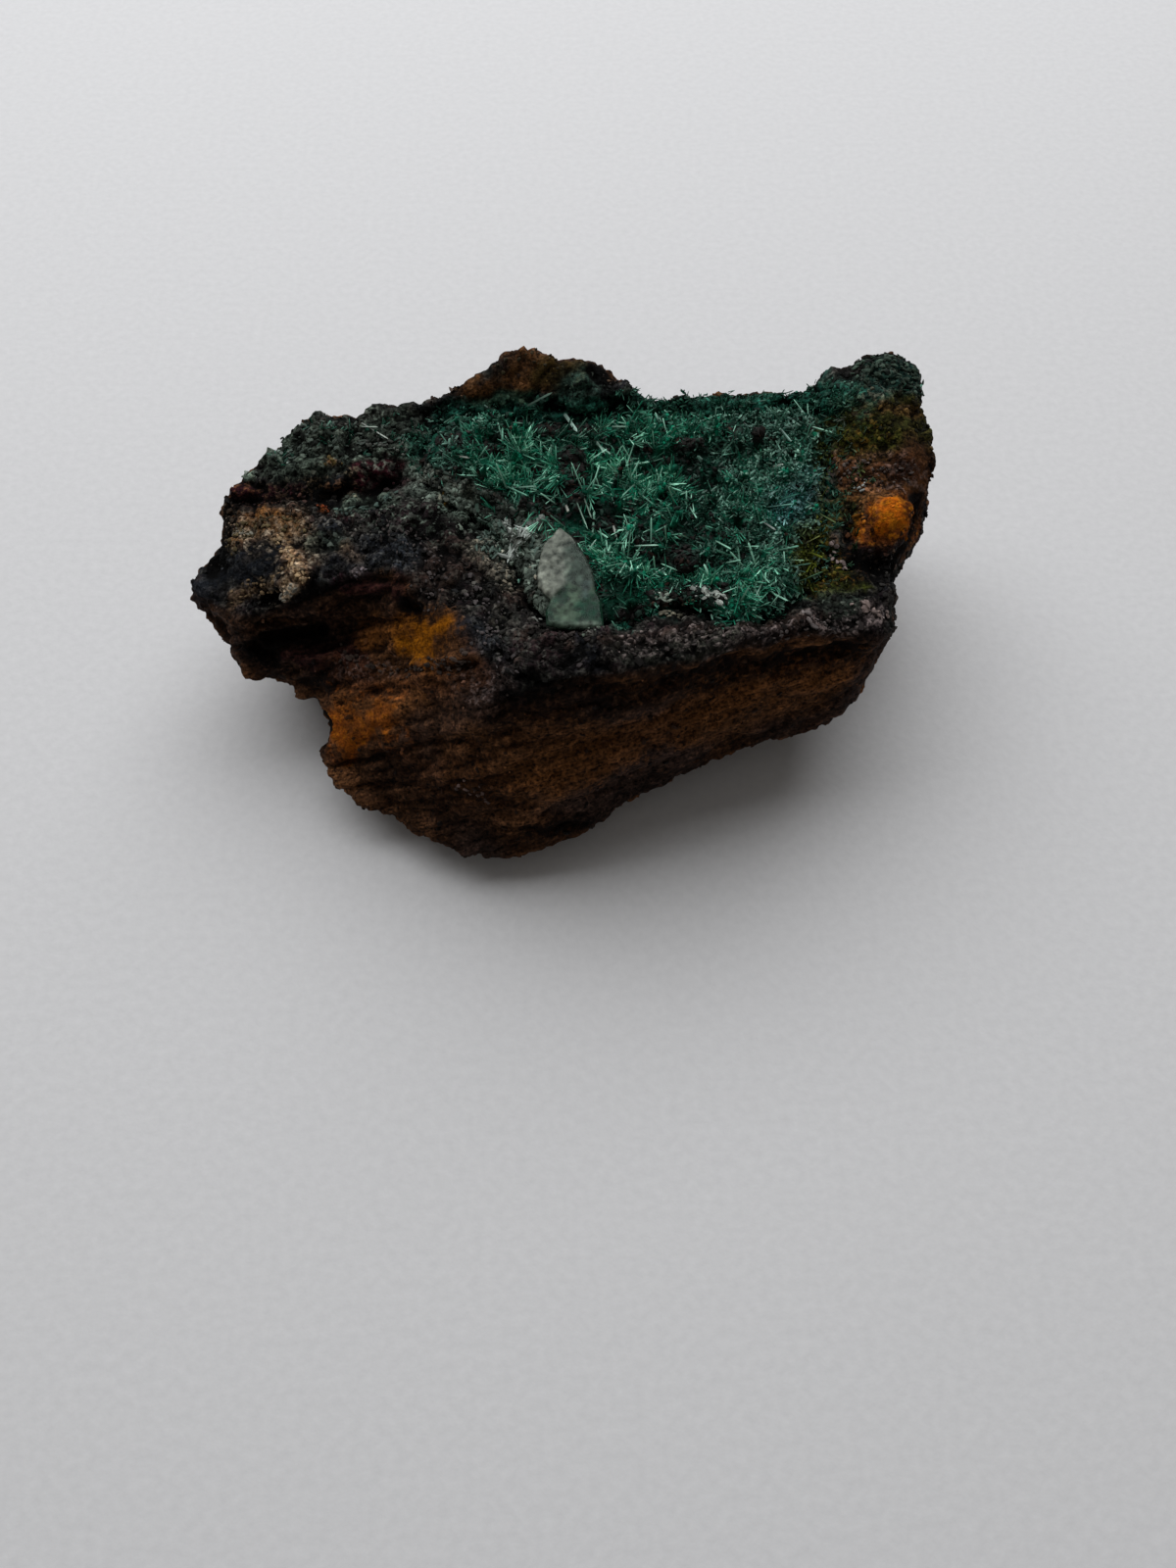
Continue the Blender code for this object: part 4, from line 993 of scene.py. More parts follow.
def grow_rim_needles(chance):
    """Short needles on the rock round the druse: on the far rim, the horn, the left crust and the
    right side, but not on the back or low down."""
    points = rock.points
    weight = rock.area(GREEN_FIELD, soft=20) * smooth_step((rock.row - 404) / 10)
    weight += 0.25 * rock.area(HORN, soft=12)
    weight += 1.6 * rock.near([(646, 410), (700, 412), (760, 408), (830, 403), (860, 405)], 0.9)
    weight *= smooth_step((cad_box[1][2] - 0.4 * MM - points[:, 2]) / (0.4 * MM))
    weight += 0.5 * rock.near([(300, 460), (360, 445), (420, 440)], 1.6)
    weight += 0.6 * rock.near([(862, 420), (866, 470), (862, 530), (850, 580)], 1.4)
    weight *= smooth_step(rock.normals[:, 2] * 2 + 0.6) * smooth_step(points[:, 2] / (0.8 * MM) - 12.3)
    roots, axes, nearest, tone = sprays(rock, RIM_SPRAYS, weight, chance, spread=0.6, lean=1.15, apart=0.10)
    count = len(roots)
    lengths = chance.uniform(0.20, 0.50, count) * MM
    widths = chance.uniform(0.05, 0.10, count) * MM
    colours = blend(DARK_EMERALD, SLATE_GREEN * 1.8, tone**2.5)
    olive = rock.near([(866, 425), (880, 460), (872, 530), (860, 590)], 1.5)[nearest, None]
    colours = blend(colours, colours[:, 1:2] * OLIVE_SHARES, olive)
    return put_needles("rim_needles", roots, axes, lengths, widths, colours, chance, sides=3, shoulder=0.8)


bed_chance = np.random.default_rng(61)
needle_pieces = [grow_felt(bed_chance), grow_sprays(bed_chance), grow_rods(bed_chance)]
needle_pieces.append(grow_rim_needles(np.random.default_rng(67)))

flake = finer_copy("clear_flake", "flake_plate", FLAKE_VOXEL, rounds=2)

# The lower third of the flake, a step below the rest
LOWER_PLATE = [(540, 602), (562, 611), (578, 595), (598, 603), (614, 596), (622, 650), (540, 650)]


def shape_flake():
    """Terraces on the flake's upper face, from noise rounded to a few levels. Returns the tint of its
    veils, milky above and green in the lower third, and its haze, densest along the left edge."""
    levels = np.round(layered_noise(flake.points, 1.3 * MM, 81, 3) * 2.5) / 2.5
    up = smooth_step(flake.normals[:, 2] * 3 - 1)
    soft = flake.average(levels * up, 2)
    step = flake.area(LOWER_PLATE, soft=6) * up
    flake.points = flake.points + flake.normals * ((soft * 0.06 - step * 0.03) * MM)[:, None]
    flake.refresh()
    streaks = layered_noise(flake.points * np.array([1.0, 0.6, 1.0]), 0.7 * MM, 85, 4)
    lower = flake.area(LOWER_PLATE, soft=8)
    right = smooth_step((flake.column - 570 + 10 * streaks) / 16) * (1 - lower)
    spots = flake.near([(582, 574), (578, 582)], 0.22) + flake.near([(596, 634), (606, 634)], 0.35)
    haze = 0.62 + 0.25 * streaks - 0.10 * lower - 0.10 * right
    tint = np.tile(FLAKE_MILK, (len(flake.points), 1))
    paint(tint, right * 0.95, FLAKE_SHADE)
    paint(tint, lower, FLAKE_CLEAR)
    paint(tint, lower * smooth_step(streaks * 2 + 0.1), FLAKE_VEIL)
    paint(tint, flake.near([(597, 604), (600, 592)], 0.35) * 0.6, FLAKE_BLUE)
    paint(tint, flake.near([(594, 617), (606, 622)], 0.6) * 0.95, FLAKE_EMERALD)
    paint(tint, smooth_step(spots) * 0.7, FLAKE_BRIGHT)
    paint(tint, flake.near([(560, 635), (585, 637), (612, 636)], 0.35) * 0.8, FLAKE_FOOT)
    return tint, np.clip(haze, 0.3, 0.9)


flake_tint, flake_haze = shape_flake()
put_colours(flake.piece, "tint", flake_tint)
put_values(flake.piece, "haze", flake_haze)

# A regular solid with twenty faces, the start of each grain
GOLDEN = (1 + math.sqrt(5)) / 2
GRAIN_CORNERS = np.array([
    (-1, GOLDEN, 0), (1, GOLDEN, 0), (-1, -GOLDEN, 0), (1, -GOLDEN, 0), (0, -1, GOLDEN), (0, 1, GOLDEN),
    (0, -1, -GOLDEN), (0, 1, -GOLDEN), (GOLDEN, 0, -1), (GOLDEN, 0, 1), (-GOLDEN, 0, -1), (-GOLDEN, 0, 1),
]) / math.sqrt(1 + GOLDEN**2)
GRAIN_FACES = np.array([
    (0, 11, 5), (0, 5, 1), (0, 1, 7), (0, 7, 10), (0, 10, 11), (1, 5, 9), (5, 11, 4), (11, 10, 2),
    (10, 7, 6), (7, 1, 8), (3, 9, 4), (3, 4, 2), (3, 2, 6), (3, 6, 8), (3, 8, 9), (4, 9, 5),
    (2, 4, 11), (6, 2, 10), (8, 6, 7), (9, 8, 1),
])

# How many loose grains lie on the rock and on the bed
ROCK_GRAINS = 6000
KNOB_GRAINS = 3600

# Smooth places of the rock: photograph places along a line, radius in millimetres, the share of the
# grains that is missing there
SMOOTH_PLACES = [
    ([(196, 602), (214, 592), (240, 582), (270, 574)], 1.4, 0.9),
    ([(500, 372), (538, 352), (575, 362), (600, 372)], 1.6, 0.95),
    ([(940, 460), (944, 490), (938, 515), (905, 532)], 1.6, 0.75),
]


def put_grains(name, places, normals, along, radii, stretch, colours, chance):
    """Grains as arrays: a twenty-faced solid for each, its corners moved by seeded shares, stretched
    along a direction and squashed along the normal of what it lies on."""
    count = len(places)
    each = len(GRAIN_CORNERS)
    corners = GRAIN_CORNERS[None] * chance.uniform(0.60, 1.25, (count, each, 1))
    corners = corners * radii[:, None, None] * chance.uniform(0.6, 1.4, (count, 1, 3))
    across = unit(np.cross(along, normals))
    lengthwise = np.cross(normals, across)
    points = places[:, None] + stretch * corners[..., :1] * lengthwise[:, None]
    points = points + corners[..., 1:2] * across[:, None] + 0.75 * corners[..., 2:] * normals[:, None]
    faces = GRAIN_FACES[None] + each * np.arange(count)[:, None, None]
    piece = put_mesh(name, points.reshape(-1, 3), [faces.reshape(-1, 3)], False)
    put_colours(piece, "tint", np.repeat(colours, each, axis=0))
    return piece


def grow_grains():
    """Grains of the rock: many on the granular top, fewer on the broken face and the hidden sides."""
    chance = np.random.default_rng(71)
    green = rock.area(GREEN_FIELD, soft=16)
    sides = 0.25 * unseen * smooth_step(rock.points[:, 2] / (3 * MM))
    weight = on_top * (1 - green) + 0.10 * on_front + sides
    weight *= 1 - 0.75 * rock.area(CREST, soft=10)
    for line, radius, missing in SMOOTH_PLACES:
        weight *= 1 - missing * rock.near(line, radius)
    weight *= 0.15 + smooth_step(layered_noise(rock.points, 1.4 * MM, 77, 2) * 1.6 + 0.4)
    places, normals, nearest = rock.scatter(ROCK_GRAINS, weight, chance)
    radii = (0.045 + 0.12 * chance.uniform(0, 1, ROCK_GRAINS) ** 2.5) * MM
    tone = 0.20 + 3.2 * chance.uniform(0, 1, ROCK_GRAINS)[:, None] ** 4
    tone *= 1 + 1.5 * rock.near([(430, 490), (470, 515), (505, 540), (525, 565)], 1.4)[nearest, None]
    share = chance.uniform(0, 1, ROCK_GRAINS)[:, None] ** 2
    colours = blend(rock_colours[nearest], rock_flecks[nearest], share) * tone
    around = chance.normal(size=(ROCK_GRAINS, 3))
    places = places + normals * 0.01 * MM
    return put_grains("rock_grains", places, normals, around, radii, 1.3, colours, chance)


def grow_knob_grains():
    """Dark grains of rock on the bed's bare knobs and corner, and a few between the needles."""
    chance = np.random.default_rng(72)
    left = smooth_step((470 - bed.column) / 50)
    between = 0.40 * (1 - bed_patch) * (1 - 0.6 * bed_even) + 0.4 * left
    weight = bed_up * (1.5 * knob_mask + between * (1 - bed_deep))
    places, normals, nearest = bed.scatter(KNOB_GRAINS, weight, chance)
    radii = (0.05 + 0.11 * chance.uniform(0, 1, KNOB_GRAINS) ** 2) * MM
    tone = 0.5 + 2.0 * chance.uniform(0, 1, KNOB_GRAINS)[:, None] ** 3
    kind = chance.uniform(0, 1, KNOB_GRAINS)[:, None]
    dark = np.where(kind < 0.35, GREY_ROCK, np.where(kind < 0.45, DULL_EARTH, DARK_SLATE))
    colours = blend(dark, bed_colours[nearest], bed_corner[nearest, None]) * tone
    around = chance.normal(size=(KNOB_GRAINS, 3))
    places = places + normals * 0.08 * MM
    return put_grains("knob_grains", places, normals, around, radii, 1.6, colours, chance)


# Clusters of paler grains and shards: colour, photograph places along a line, radius in millimetres,
# number, size of the grains in millimetres, stretch along the line
PALE_CLUSTERS = [
    ((0.50, 0.56, 0.52), [(537, 537), (530, 550), (518, 568)], 0.32, 74, 0.12, 5.0),
    ((0.42, 0.47, 0.43), [(517, 535), (526, 545)], 0.25, 26, 0.12, 4.0),
    ((0.12, 0.18, 0.15), [(544, 548), (543, 562)], 0.25, 6, 0.16, 2.8),
    ((0.08, 0.12, 0.10), [(500, 530), (498, 560)], 0.9, 46, 0.13, 3.2),
    ((0.11, 0.15, 0.12), [(452, 514), (470, 522), (492, 532)], 0.55, 44, 0.13, 1.5),
    ((0.15, 0.17, 0.155), [(544, 530), (554, 529)], 0.40, 24, 0.26, 1.2),
    ((0.110, 0.122, 0.100), [(432, 484), (455, 492), (482, 502)], 0.8, 110, 0.15, 1.4),
    ((0.060, 0.105, 0.080), [(486, 520), (505, 545), (512, 565)], 0.7, 60, 0.14, 2.6),
    ((0.11, 0.12, 0.105), [(376, 450), (400, 456), (416, 462)], 0.5, 30, 0.13, 1.4),
    ((0.035, 0.028, 0.026), [(556, 643), (585, 645), (616, 643)], 0.30, 36, 0.14, 1.4),
    ((0.16, 0.20, 0.16), [(584, 639), (600, 641), (612, 640)], 0.20, 12, 0.10, 1.4),
    ((0.40, 0.42, 0.38), [(546, 630), (552, 631)], 0.18, 5, 0.10, 1.6),
    ((0.30, 0.28, 0.22), [(541, 580), (546, 586)], 0.25, 6, 0.12, 1.5),
    ((0.10, 0.09, 0.075), [(538, 612), (544, 602)], 0.20, 6, 0.12, 2.0),
    ((0.40, 0.48, 0.40), [(668, 611), (686, 606)], 0.35, 20, 0.15, 2.2),
    ((0.50, 0.55, 0.50), [(710, 600), (734, 607)], 0.40, 30, 0.16, 2.2),
    ((0.16, 0.15, 0.11), [(676, 622), (700, 616)], 0.6, 18, 0.14, 1.6),
    ((0.22, 0.17, 0.155), [(883, 619), (900, 626)], 0.5, 18, 0.17, 1.5),
    ((0.19, 0.165, 0.16), [(827, 628), (834, 636)], 0.3, 8, 0.16, 1.9),
    ((0.08, 0.068, 0.064), [(640, 655), (720, 646), (800, 638), (870, 634)], 0.8, 50, 0.12, 1.5),
    ((0.075, 0.065, 0.065), [(480, 600), (500, 640), (520, 680)], 1.2, 70, 0.13, 1.4),
    ((0.060, 0.050, 0.048), [(380, 520), (430, 560), (440, 600)], 1.3, 90, 0.12, 1.4),
    ((0.24, 0.30, 0.26), [(286, 460), (296, 468)], 0.30, 12, 0.12, 1.4),
    ((0.26, 0.30, 0.26), [(247, 478), (252, 486)], 0.25, 8, 0.12, 1.4),
    ((0.22, 0.19, 0.21), [(363, 581), (371, 584)], 0.18, 6, 0.09, 1.3),
    ((0.42, 0.30, 0.17), [(284, 550), (298, 570), (312, 588)], 0.35, 40, 0.12, 1.6),
    ((0.24, 0.23, 0.19), [(285, 614), (296, 606), (304, 600)], 0.35, 18, 0.13, 1.4),
    ((0.26, 0.25, 0.20), [(238, 540), (256, 544)], 0.35, 14, 0.12, 1.6),
    ((0.16, 0.11, 0.06), [(240, 604), (270, 600), (290, 590)], 0.7, 36, 0.13, 1.4),
    ((0.10, 0.075, 0.035), [(235, 545), (262, 530), (300, 532)], 0.9, 60, 0.13, 1.4),
    ((0.12, 0.085, 0.030), [(336, 466), (342, 474)], 0.3, 8, 0.12, 1.3),
    ((0.13, 0.075, 0.012), [(452, 508), (458, 514)], 0.3, 10, 0.12, 1.3),
    ((0.075, 0.120, 0.100), [(352, 520), (370, 516), (392, 506)], 0.6, 40, 0.12, 1.4),
    ((0.24, 0.055, 0.018), [(327, 513), (333, 518)], 0.22, 8, 0.10, 1.3),
    ((0.10, 0.080, 0.070), [(846, 484), (880, 480), (926, 486)], 0.9, 56, 0.10, 1.5),
    ((0.26, 0.28, 0.27), [(873, 498), (882, 494)], 0.25, 8, 0.11, 1.8),
    ((0.22, 0.17, 0.16), [(845, 560), (856, 572), (862, 580)], 0.35, 14, 0.12, 1.8),
    ((0.05, 0.035, 0.028), [(350, 676), (420, 684), (470, 676)], 0.8, 70, 0.14, 1.8),
    ((0.12, 0.08, 0.07), [(470, 800), (500, 815)], 0.8, 14, 0.13, 1.5),
    ((0.055, 0.045, 0.024), [(505, 380), (540, 368), (575, 376)], 0.7, 20, 0.12, 1.3),
    ((0.055, 0.090, 0.066), [(880, 372), (930, 385)], 1.5, 100, 0.12, 2.2),
    ((0.075, 0.098, 0.082), [(290, 460), (350, 444), (410, 436)], 1.7, 120, 0.12, 2.4),
]


def front_spot(column, row):
    """The place seen at a point of the photograph, on the bed of the needles or on the rock."""
    depths = []
    for skin in (bed, rock):
        close = np.hypot(skin.column - column, skin.row - row) < 5
        depths.append(skin.depth[close].min() if close.any() else np.inf)
    return (bed if depths[0] < depths[1] else rock).spot(column, row)


def grow_pale_clusters():
    """Clusters of pale grains on the skins that show there, shared out by how much of each is near."""
    chance = np.random.default_rng(74)
    parts = []
    for colour, line, radius, total, size, stretch in PALE_CLUSTERS:
        corners = [front_spot(*place) for place in line]
        weights = []
        for skin in (bed, rock):
            close = smooth_step(1 - line_distance(skin.points, corners) / (radius * MM))
            weights.append(close * (skin.facing > 0))
        shares = np.array([weight.sum() for weight in weights]) * [BED_VOXEL**2, ROCK_VOXEL**2]
        on_bed = int(round(total * shares[0] / shares.sum()))
        for skin, weight, number in [(bed, weights[0], on_bed), (rock, weights[1], total - on_bed)]:
            if number == 0:
                continue
            places, normals, _ = skin.scatter(number, weight, chance)
            along = unit(corners[-1] - corners[0]) + 0.35 * chance.normal(size=(number, 3))
            radii = size * chance.uniform(0.375, 0.9, number) * MM
            tints = np.array(colour) * chance.uniform(0.35, 1.25, (number, 1))
            lengthened = np.full((number, 1, 1), stretch)
            parts.append((places + normals * 0.08 * MM, normals, along, radii, lengthened, tints))
    places, normals, along, radii, stretch, tints = map(np.concatenate, zip(*parts))
    return put_grains("pale_grains", places, normals, along, radii, stretch, tints, chance)


rock_grains = [grow_grains(), grow_knob_grains(), grow_pale_clusters()]

# Pale blades: the two ends in the photograph, width in millimetres and colour. They are built at a
# share of that width and brightness, and stand a little proud of what lies under them
BLADE_SHARE = 0.8
BLADE_RAISE = 0.20 * MM
BLADES = [
    ((540, 419), (564, 407), 0.20, (0.42, 0.66, 0.55)), ((577, 425), (592, 441), 0.22, (0.40, 0.60, 0.52)),
    ((366, 434), (394, 452), 0.14, (0.55, 0.62, 0.55)), ((372, 438), (388, 441), 0.12, (0.5, 0.6, 0.52)),
    ((611, 450), (620, 464), 0.20, (0.45, 0.72, 0.58)), ((612, 456), (626, 470), 0.16, (0.4, 0.7, 0.56)),
    ((624, 430), (632, 440), 0.18, (0.5, 0.78, 0.66)), ((626, 436), (640, 441), 0.14, (0.45, 0.75, 0.6)),
    ((463, 470), (480, 474), 0.16, (0.6, 0.68, 0.6)), ((520, 503), (546, 501), 0.13, (0.42, 0.78, 0.62)),
    ((548, 490), (572, 488), 0.14, (0.5, 0.76, 0.64)), ((598, 510), (606, 530), 0.13, (0.5, 0.72, 0.58)),
    ((590, 518), (602, 540), 0.12, (0.42, 0.66, 0.52)), ((648, 562), (676, 559), 0.16, (0.5, 0.82, 0.66)),
    ((660, 594), (677, 582), 0.16, (0.45, 0.7, 0.58)), ((602, 560), (610, 555), 0.12, (0.42, 0.68, 0.55)),
    ((576, 519), (580, 525), 0.22, (0.62, 0.66, 0.58)), ((624, 543), (626, 550), 0.20, (0.6, 0.66, 0.58)),
    ((770, 600), (778, 614), 0.16, (0.40, 0.72, 0.58)), ((776, 594), (772, 610), 0.13, (0.45, 0.78, 0.62)),
    ((752, 598), (768, 606), 0.13, (0.4, 0.7, 0.56)), ((800, 440), (808, 450), 0.14, (0.3, 0.52, 0.44)),
    ((786, 476), (796, 474), 0.16, (0.5, 0.6, 0.52)), ((776, 536), (790, 540), 0.18, (0.42, 0.5, 0.46)),
]


def put_blades():
    """Each pale blade as a prism from one place of the photograph to another."""
    starts, ends, widths, colours = zip(*BLADES)
    roots = np.array([front_spot(*place) for place in starts])
    along = np.array([front_spot(*place) for place in ends]) - roots
    roots[:, 2] += BLADE_RAISE
    lengths = np.linalg.norm(along, axis=1)
    widths = BLADE_SHARE * np.array(widths) * MM
    colours = BLADE_SHARE * np.array(colours)
    chance = np.random.default_rng(73)
    axes = unit(along)
    return put_needles("pale_blades", roots, axes, lengths, widths, colours, chance, sides=4, shoulder=0.85)


pale_blades = put_blades()


class Wire:
    """A shader socket in Python arithmetic: each operator adds a Math node."""

    def __init__(self, finish, socket):
        self.finish = finish
        self.socket = socket

    def math(self, operation, one, other):
        """A Math node on two values."""
        return self.finish.add("ShaderNodeMath", {"operation": operation}, {0: one, 1: other})

    def __add__(self, other):
        return self.math("ADD", self, other)

    def __sub__(self, other):
        return self.math("SUBTRACT", self, other)

    def __rsub__(self, other):
        return self.math("SUBTRACT", other, self)

    def __mul__(self, other):
        return self.math("MULTIPLY", self, other)

    def size(self):
        """The value without its sign."""
        return self.finish.add("ShaderNodeMath", {"operation": "ABSOLUTE"}, {0: self})

    __radd__ = __add__
    __rmul__ = __mul__


class Finish:
    """A material and its nodes. Every node but the shader comes from the method add."""

    def __init__(self, name):
        self.material = bpy.data.materials.new(name)
        self.material.use_nodes = True
        self.tree = self.material.node_tree
        self.shader = self.tree.nodes["Principled BSDF"]

    def add(self, kind, settings, inputs, output=0):
        """A node of a kind with its settings and the values or links of its sockets."""
        node = self.tree.nodes.new(kind)
        for key, value in settings.items():
            setattr(node, key, value)
        for key, value in inputs.items():
            self.feed(node.inputs[key], value)
        return Wire(self, node.outputs[output])

    def feed(self, socket, value):
        """Links a wire to a socket, or sets the socket's value."""
        if isinstance(value, Wire):
            self.tree.links.new(value.socket, socket)
        elif isinstance(value, tuple) and len(value) == 3 and socket.type == "RGBA":
            socket.default_value = (*value, 1.0)
        else:
            socket.default_value = value

    def set(self, **values):
        """Sets or links sockets of the shader, named with underscores for spaces."""
        for key, value in values.items():
            self.feed(self.shader.inputs[key.replace("_", " ")], value)

    def blend(self, factor, other):
        """Mixes the shader with another by a factor."""
        clear = Wire(self, self.shader.outputs[0])
        mixed = self.add("ShaderNodeMixShader", {}, {0: factor, 1: clear, 2: other})
        self.feed(self.tree.nodes["Material Output"].inputs["Surface"], mixed)

    def place(self):
        """The place on the piece, in metres."""
        return self.add("ShaderNodeTexCoord", {}, {}, "Object")

    def noise(self, place, size, detail=3.0):
        """Noise with features of a size in metres."""
        return self.add("ShaderNodeTexNoise", {}, {"Vector": place, "Scale": 1 / size, "Detail": detail})

    def attribute(self, name, output):
        """A named attribute of the piece."""
        return self.add("ShaderNodeAttribute", {"attribute_name": name}, {}, output)

    def ranged(self, value, low, high, new_low, new_high):
        """A value whose range from low to high becomes a new range, and is cut off beyond it."""
        return self.add("ShaderNodeMapRange", {}, {
            "Value": value, "From Min": low, "From Max": high, "To Min": new_low, "To Max": new_high})

    def scaled(self, colour, factor):
        """A colour or place multiplied by a value."""
        return self.add("ShaderNodeVectorMath", {"operation": "SCALE"}, {0: colour, "Scale": factor})

    def mixed(self, factor, one, other):
        """A colour between two colours, by a factor."""
        return self.add("ShaderNodeMix", {"data_type": "RGBA"}, {0: factor, 6: one, 7: other}, 2)

    def bump(self, height, distance, strength):
        """Raises the surface by a height of up to a distance in metres."""
        return self.add("ShaderNodeBump", {}, {"Height": height, "Distance": distance, "Strength": strength})


def rock_finish():
    """Earthy granular rock: the painted tint and its flecks, with painted light on raised grains, painted
    highlights along thin curled rims and painted shade in the crevices between them, with fibres along
    the bedding on the broken face."""
    finish = Finish("rusty_rock")
    place = finish.place()
    across = finish.add("ShaderNodeVectorMath", {"operation": "DOT_PRODUCT"}, {0: place, 1: BEDDING}, 1)
    squeezed = finish.scaled(BEDDING, across * 0.75)
    stretched = finish.add("ShaderNodeVectorMath", {"operation": "ADD"}, {
        0: finish.scaled(place, 0.25), 1: squeezed})
    grain = finish.noise(place, 0.17 * MM, 5.0)
    fibre = finish.noise(stretched, 0.13 * MM, 4.0)
    curl = finish.noise(place, 0.26 * MM, 2.0)
    blotch = finish.noise(place, 1.1 * MM, 3.0)
    bedding = finish.attribute("bedding", "Fac")
    texture = grain * (1 - 0.4 * bedding) + fibre * bedding * 0.4
    contrast = finish.ranged(texture, 0.38, 0.66, 0.12, 2.4)
    contrast = contrast + (1.1 - contrast) * finish.attribute("smoothness", "Fac") * 0.6
    # Painted shade and light: darker where the relief sinks, lighter where it rises, less of it on the broken
    # face
    relief_shading = finish.ranged(finish.attribute("relief", "Fac"), -1.0, 1.2, 0.04, 1.6)
    relief_shading = relief_shading + (1 - relief_shading) * bedding * 0.3
    # Painted highlights: thin pale lines along the curled edges of grains
    rim = finish.ranged((curl - 0.5).size(), 0.0, 0.035, 1.0, 0.0)
    flecked = finish.ranged(finish.noise(place, 0.33 * MM, 4.0), 0.50, 0.62, 0.0, 0.8)
    tint = finish.mixed(flecked, finish.attribute("tint", "Color"), finish.attribute("fleck", "Color"))
    colour = finish.scaled(tint, contrast * relief_shading * (0.5 + blotch) + 0.9 * rim * relief_shading)
    height = texture + 0.4 * blotch + 0.15 * rim
    finish.set(Base_Color=colour, Roughness=0.65 + 0.3 * grain, Specular_IOR_Level=0.05,
               Normal=finish.bump(height, 0.14 * MM, 0.9))
    return finish.material


def grain_finish():
    """Mineral grains: each its own tint, with a little gloss."""
    finish = Finish("rock_grain")
    place = finish.place()
    speck = finish.noise(place, 0.10 * MM, 2.0)
    colour = finish.scaled(finish.attribute("tint", "Color"), 0.5 + speck)
    finish.set(Base_Color=colour, Roughness=0.50 + 0.3 * speck, Specular_IOR_Level=0.10,
               Normal=finish.bump(speck, 0.03 * MM, 0.5))
    return finish.material


def needle_finish():
    """Glassy green needles: the tint of each, with streaks along it, a clear gloss."""
    finish = Finish("brochantite_needle")
    place = finish.place()
    streak = finish.noise(place, 0.20 * MM, 2.0)
    colour = finish.scaled(finish.attribute("tint", "Color"), 0.6 + 0.8 * streak)
    finish.set(Base_Color=colour, Roughness=0.35 + 0.15 * streak, Specular_IOR_Level=0.22)
    return finish.material


def bed_finish():
    """The mass of fine crystals under the needles: deep saturated green, with painted shade in its
    hollows and painted light on its mounds.
    """
    finish = Finish("crystal_bed")
    place = finish.place()
    fine = finish.noise(place, 0.14 * MM, 4.0)
    # Painted shade and light: darker in the bed's hollows, lighter on its mounds
    relief_shading = finish.ranged(finish.attribute("relief", "Fac"), -1.0, 1.0, 0.4, 1.4)
    colour = finish.scaled(finish.attribute("tint", "Color"), relief_shading * (0.3 + 1.4 * fine))
    finish.set(Base_Color=colour, Roughness=0.45 + 0.3 * fine, Specular_IOR_Level=0.08,
               Normal=finish.bump(fine, 0.15 * MM, 0.9))
    return finish.material


def flake_finish():
    """A clear plate with milky veils: glass with little gloss, mixed by the haze with a matt tint."""
    finish = Finish("clear_flake_crystal")
    place = finish.place()
    streak = finish.noise(place, 0.34 * MM, 5.0)
    relief = finish.bump(streak, 0.04 * MM, 0.5)
    finish.set(Base_Color=(0.06, 0.10, 0.08), Roughness=0.10, IOR=1.54, Transmission_Weight=1.0,
               Specular_IOR_Level=0.04, Specular_Tint=(0.22, 0.27, 0.24), Normal=relief)
    milky = finish.add("ShaderNodeBsdfPrincipled", {}, {
        "Base Color": finish.scaled(finish.attribute("tint", "Color"), 3.4 * streak - 0.8),
        "Roughness": 0.5, "Specular IOR Level": 0.04, "Normal": relief})
    haze = finish.attribute("haze", "Fac") * (0.6 + 0.8 * streak)
    finish.blend(haze, milky)
    return finish.material


def floor_finish():
    """Pale matt board with a faint grain."""
    finish = Finish("pale_board")
    place = finish.place()
    grain = finish.noise(place, 0.5 * MM, 3.0)
    colour = finish.mixed(grain, (0.60, 0.605, 0.615), (0.70, 0.705, 0.715))
    finish.set(Base_Color=colour, Roughness=0.8, Normal=finish.bump(grain, 0.05 * MM, 0.35))
    return finish.material


def dress(piece, material):
    """Gives a piece its finish and its place on the specimen."""
    piece.data.materials.clear()
    piece.data.materials.append(material)
    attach(piece, "root")


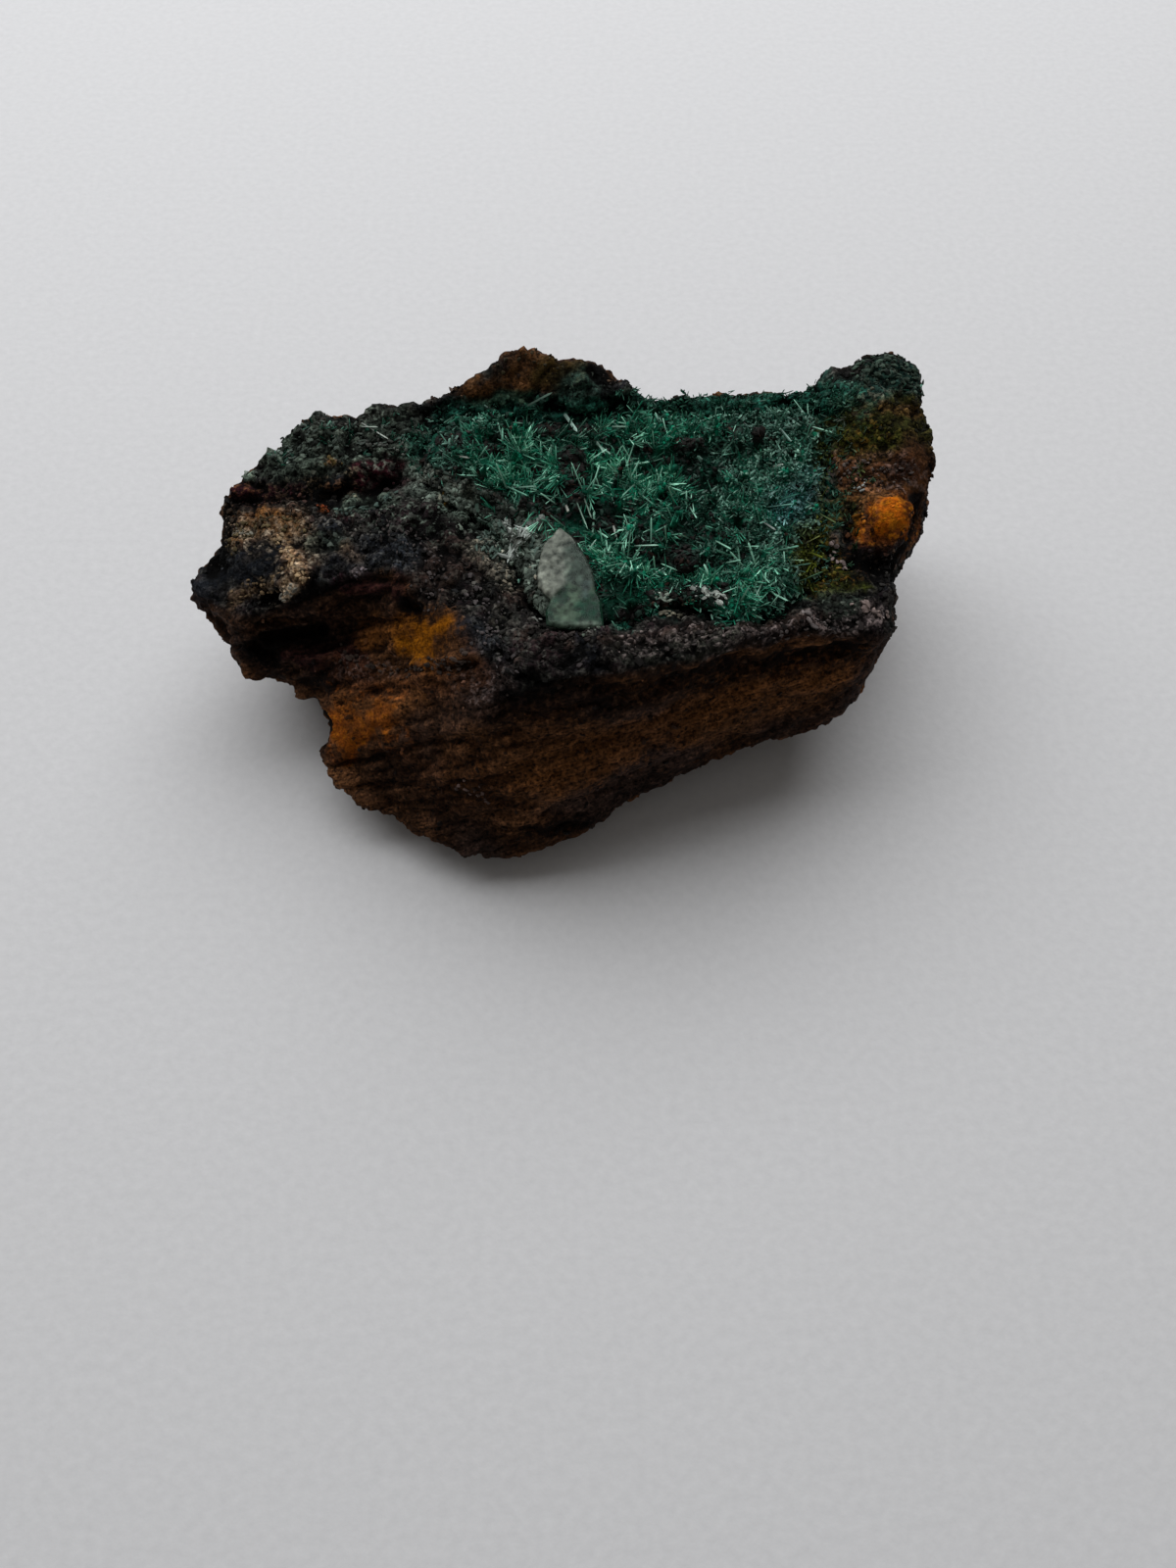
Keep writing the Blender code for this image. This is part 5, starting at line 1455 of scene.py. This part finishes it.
dress(rock.piece, rock_finish())
grain = grain_finish()
for grains in rock_grains:
    dress(grains, grain)
dress(bed.piece, bed_finish())
green = needle_finish()
for needles in [*needle_pieces, pale_blades]:
    dress(needles, green)
dress(flake.piece, flake_finish())
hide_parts("clear_flake")
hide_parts("matrix")
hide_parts("brochantite_crust")


def put_floor():
    """The floor as a two-sided square sheet at the height of the rock's foot."""
    half = 0.6
    corners = np.array([(-half, -half, 0), (half, -half, 0), (half, half, 0), (-half, half, 0)])
    floor = put_mesh("floor", corners, [np.array([(0, 1, 2, 3)])], False)
    floor.data.materials.append(floor_finish())


def add_area_light(name, place, target, size, power, colour):
    """A soft light with a width and a height in metres and a power in watts that looks at a target."""
    lamp = bpy.data.lights.new(name, "AREA")
    lamp.shape = "RECTANGLE"
    lamp.size, lamp.size_y = size
    lamp.energy = power
    lamp.color = colour
    holder = bpy.data.objects.new(name, lamp)
    holder.location = place
    direction = np.array(target) - np.array(place)
    flat = math.hypot(direction[0], direction[1])
    holder.rotation_euler = (math.atan2(flat, -direction[2]), 0, math.atan2(-direction[0], direction[1]))
    bpy.context.scene.collection.objects.link(holder)


def add_camera():
    """The camera at the photograph's place, looking down and along +Y."""
    camera = bpy.data.cameras.new("camera")
    camera.sensor_width = SENSOR
    camera.lens = FOCAL_PIXELS * SENSOR / PHOTO_SIZE[1]
    camera.clip_start = 0.001
    camera.clip_end = 10
    holder = bpy.data.objects.new("camera", camera)
    holder.location = EYE_PLACE
    holder.rotation_euler = (math.pi / 2 - VIEW_PITCH, 0, 0)
    bpy.context.scene.collection.objects.link(holder)
    bpy.context.scene.camera = holder


def add_sky(strength):
    """A soft, slightly warm light from all round."""
    world = bpy.data.worlds.new("surround")
    world.use_nodes = True
    background = world.node_tree.nodes["Background"]
    background.inputs["Color"].default_value = (1.0, 0.95, 0.90, 1.0)
    background.inputs["Strength"].default_value = strength
    bpy.context.scene.world = world


put_floor()
bpy.context.scene.view_settings.view_transform = "Standard"
add_area_light(
    "window", place=(-0.03, 0.17, 0.24), target=(0, 0.03, 0), size=(0.52, 0.26), power=1.26,
    colour=(0.98, 0.985, 1.0),
)
add_sky(strength=0.15)
add_camera()
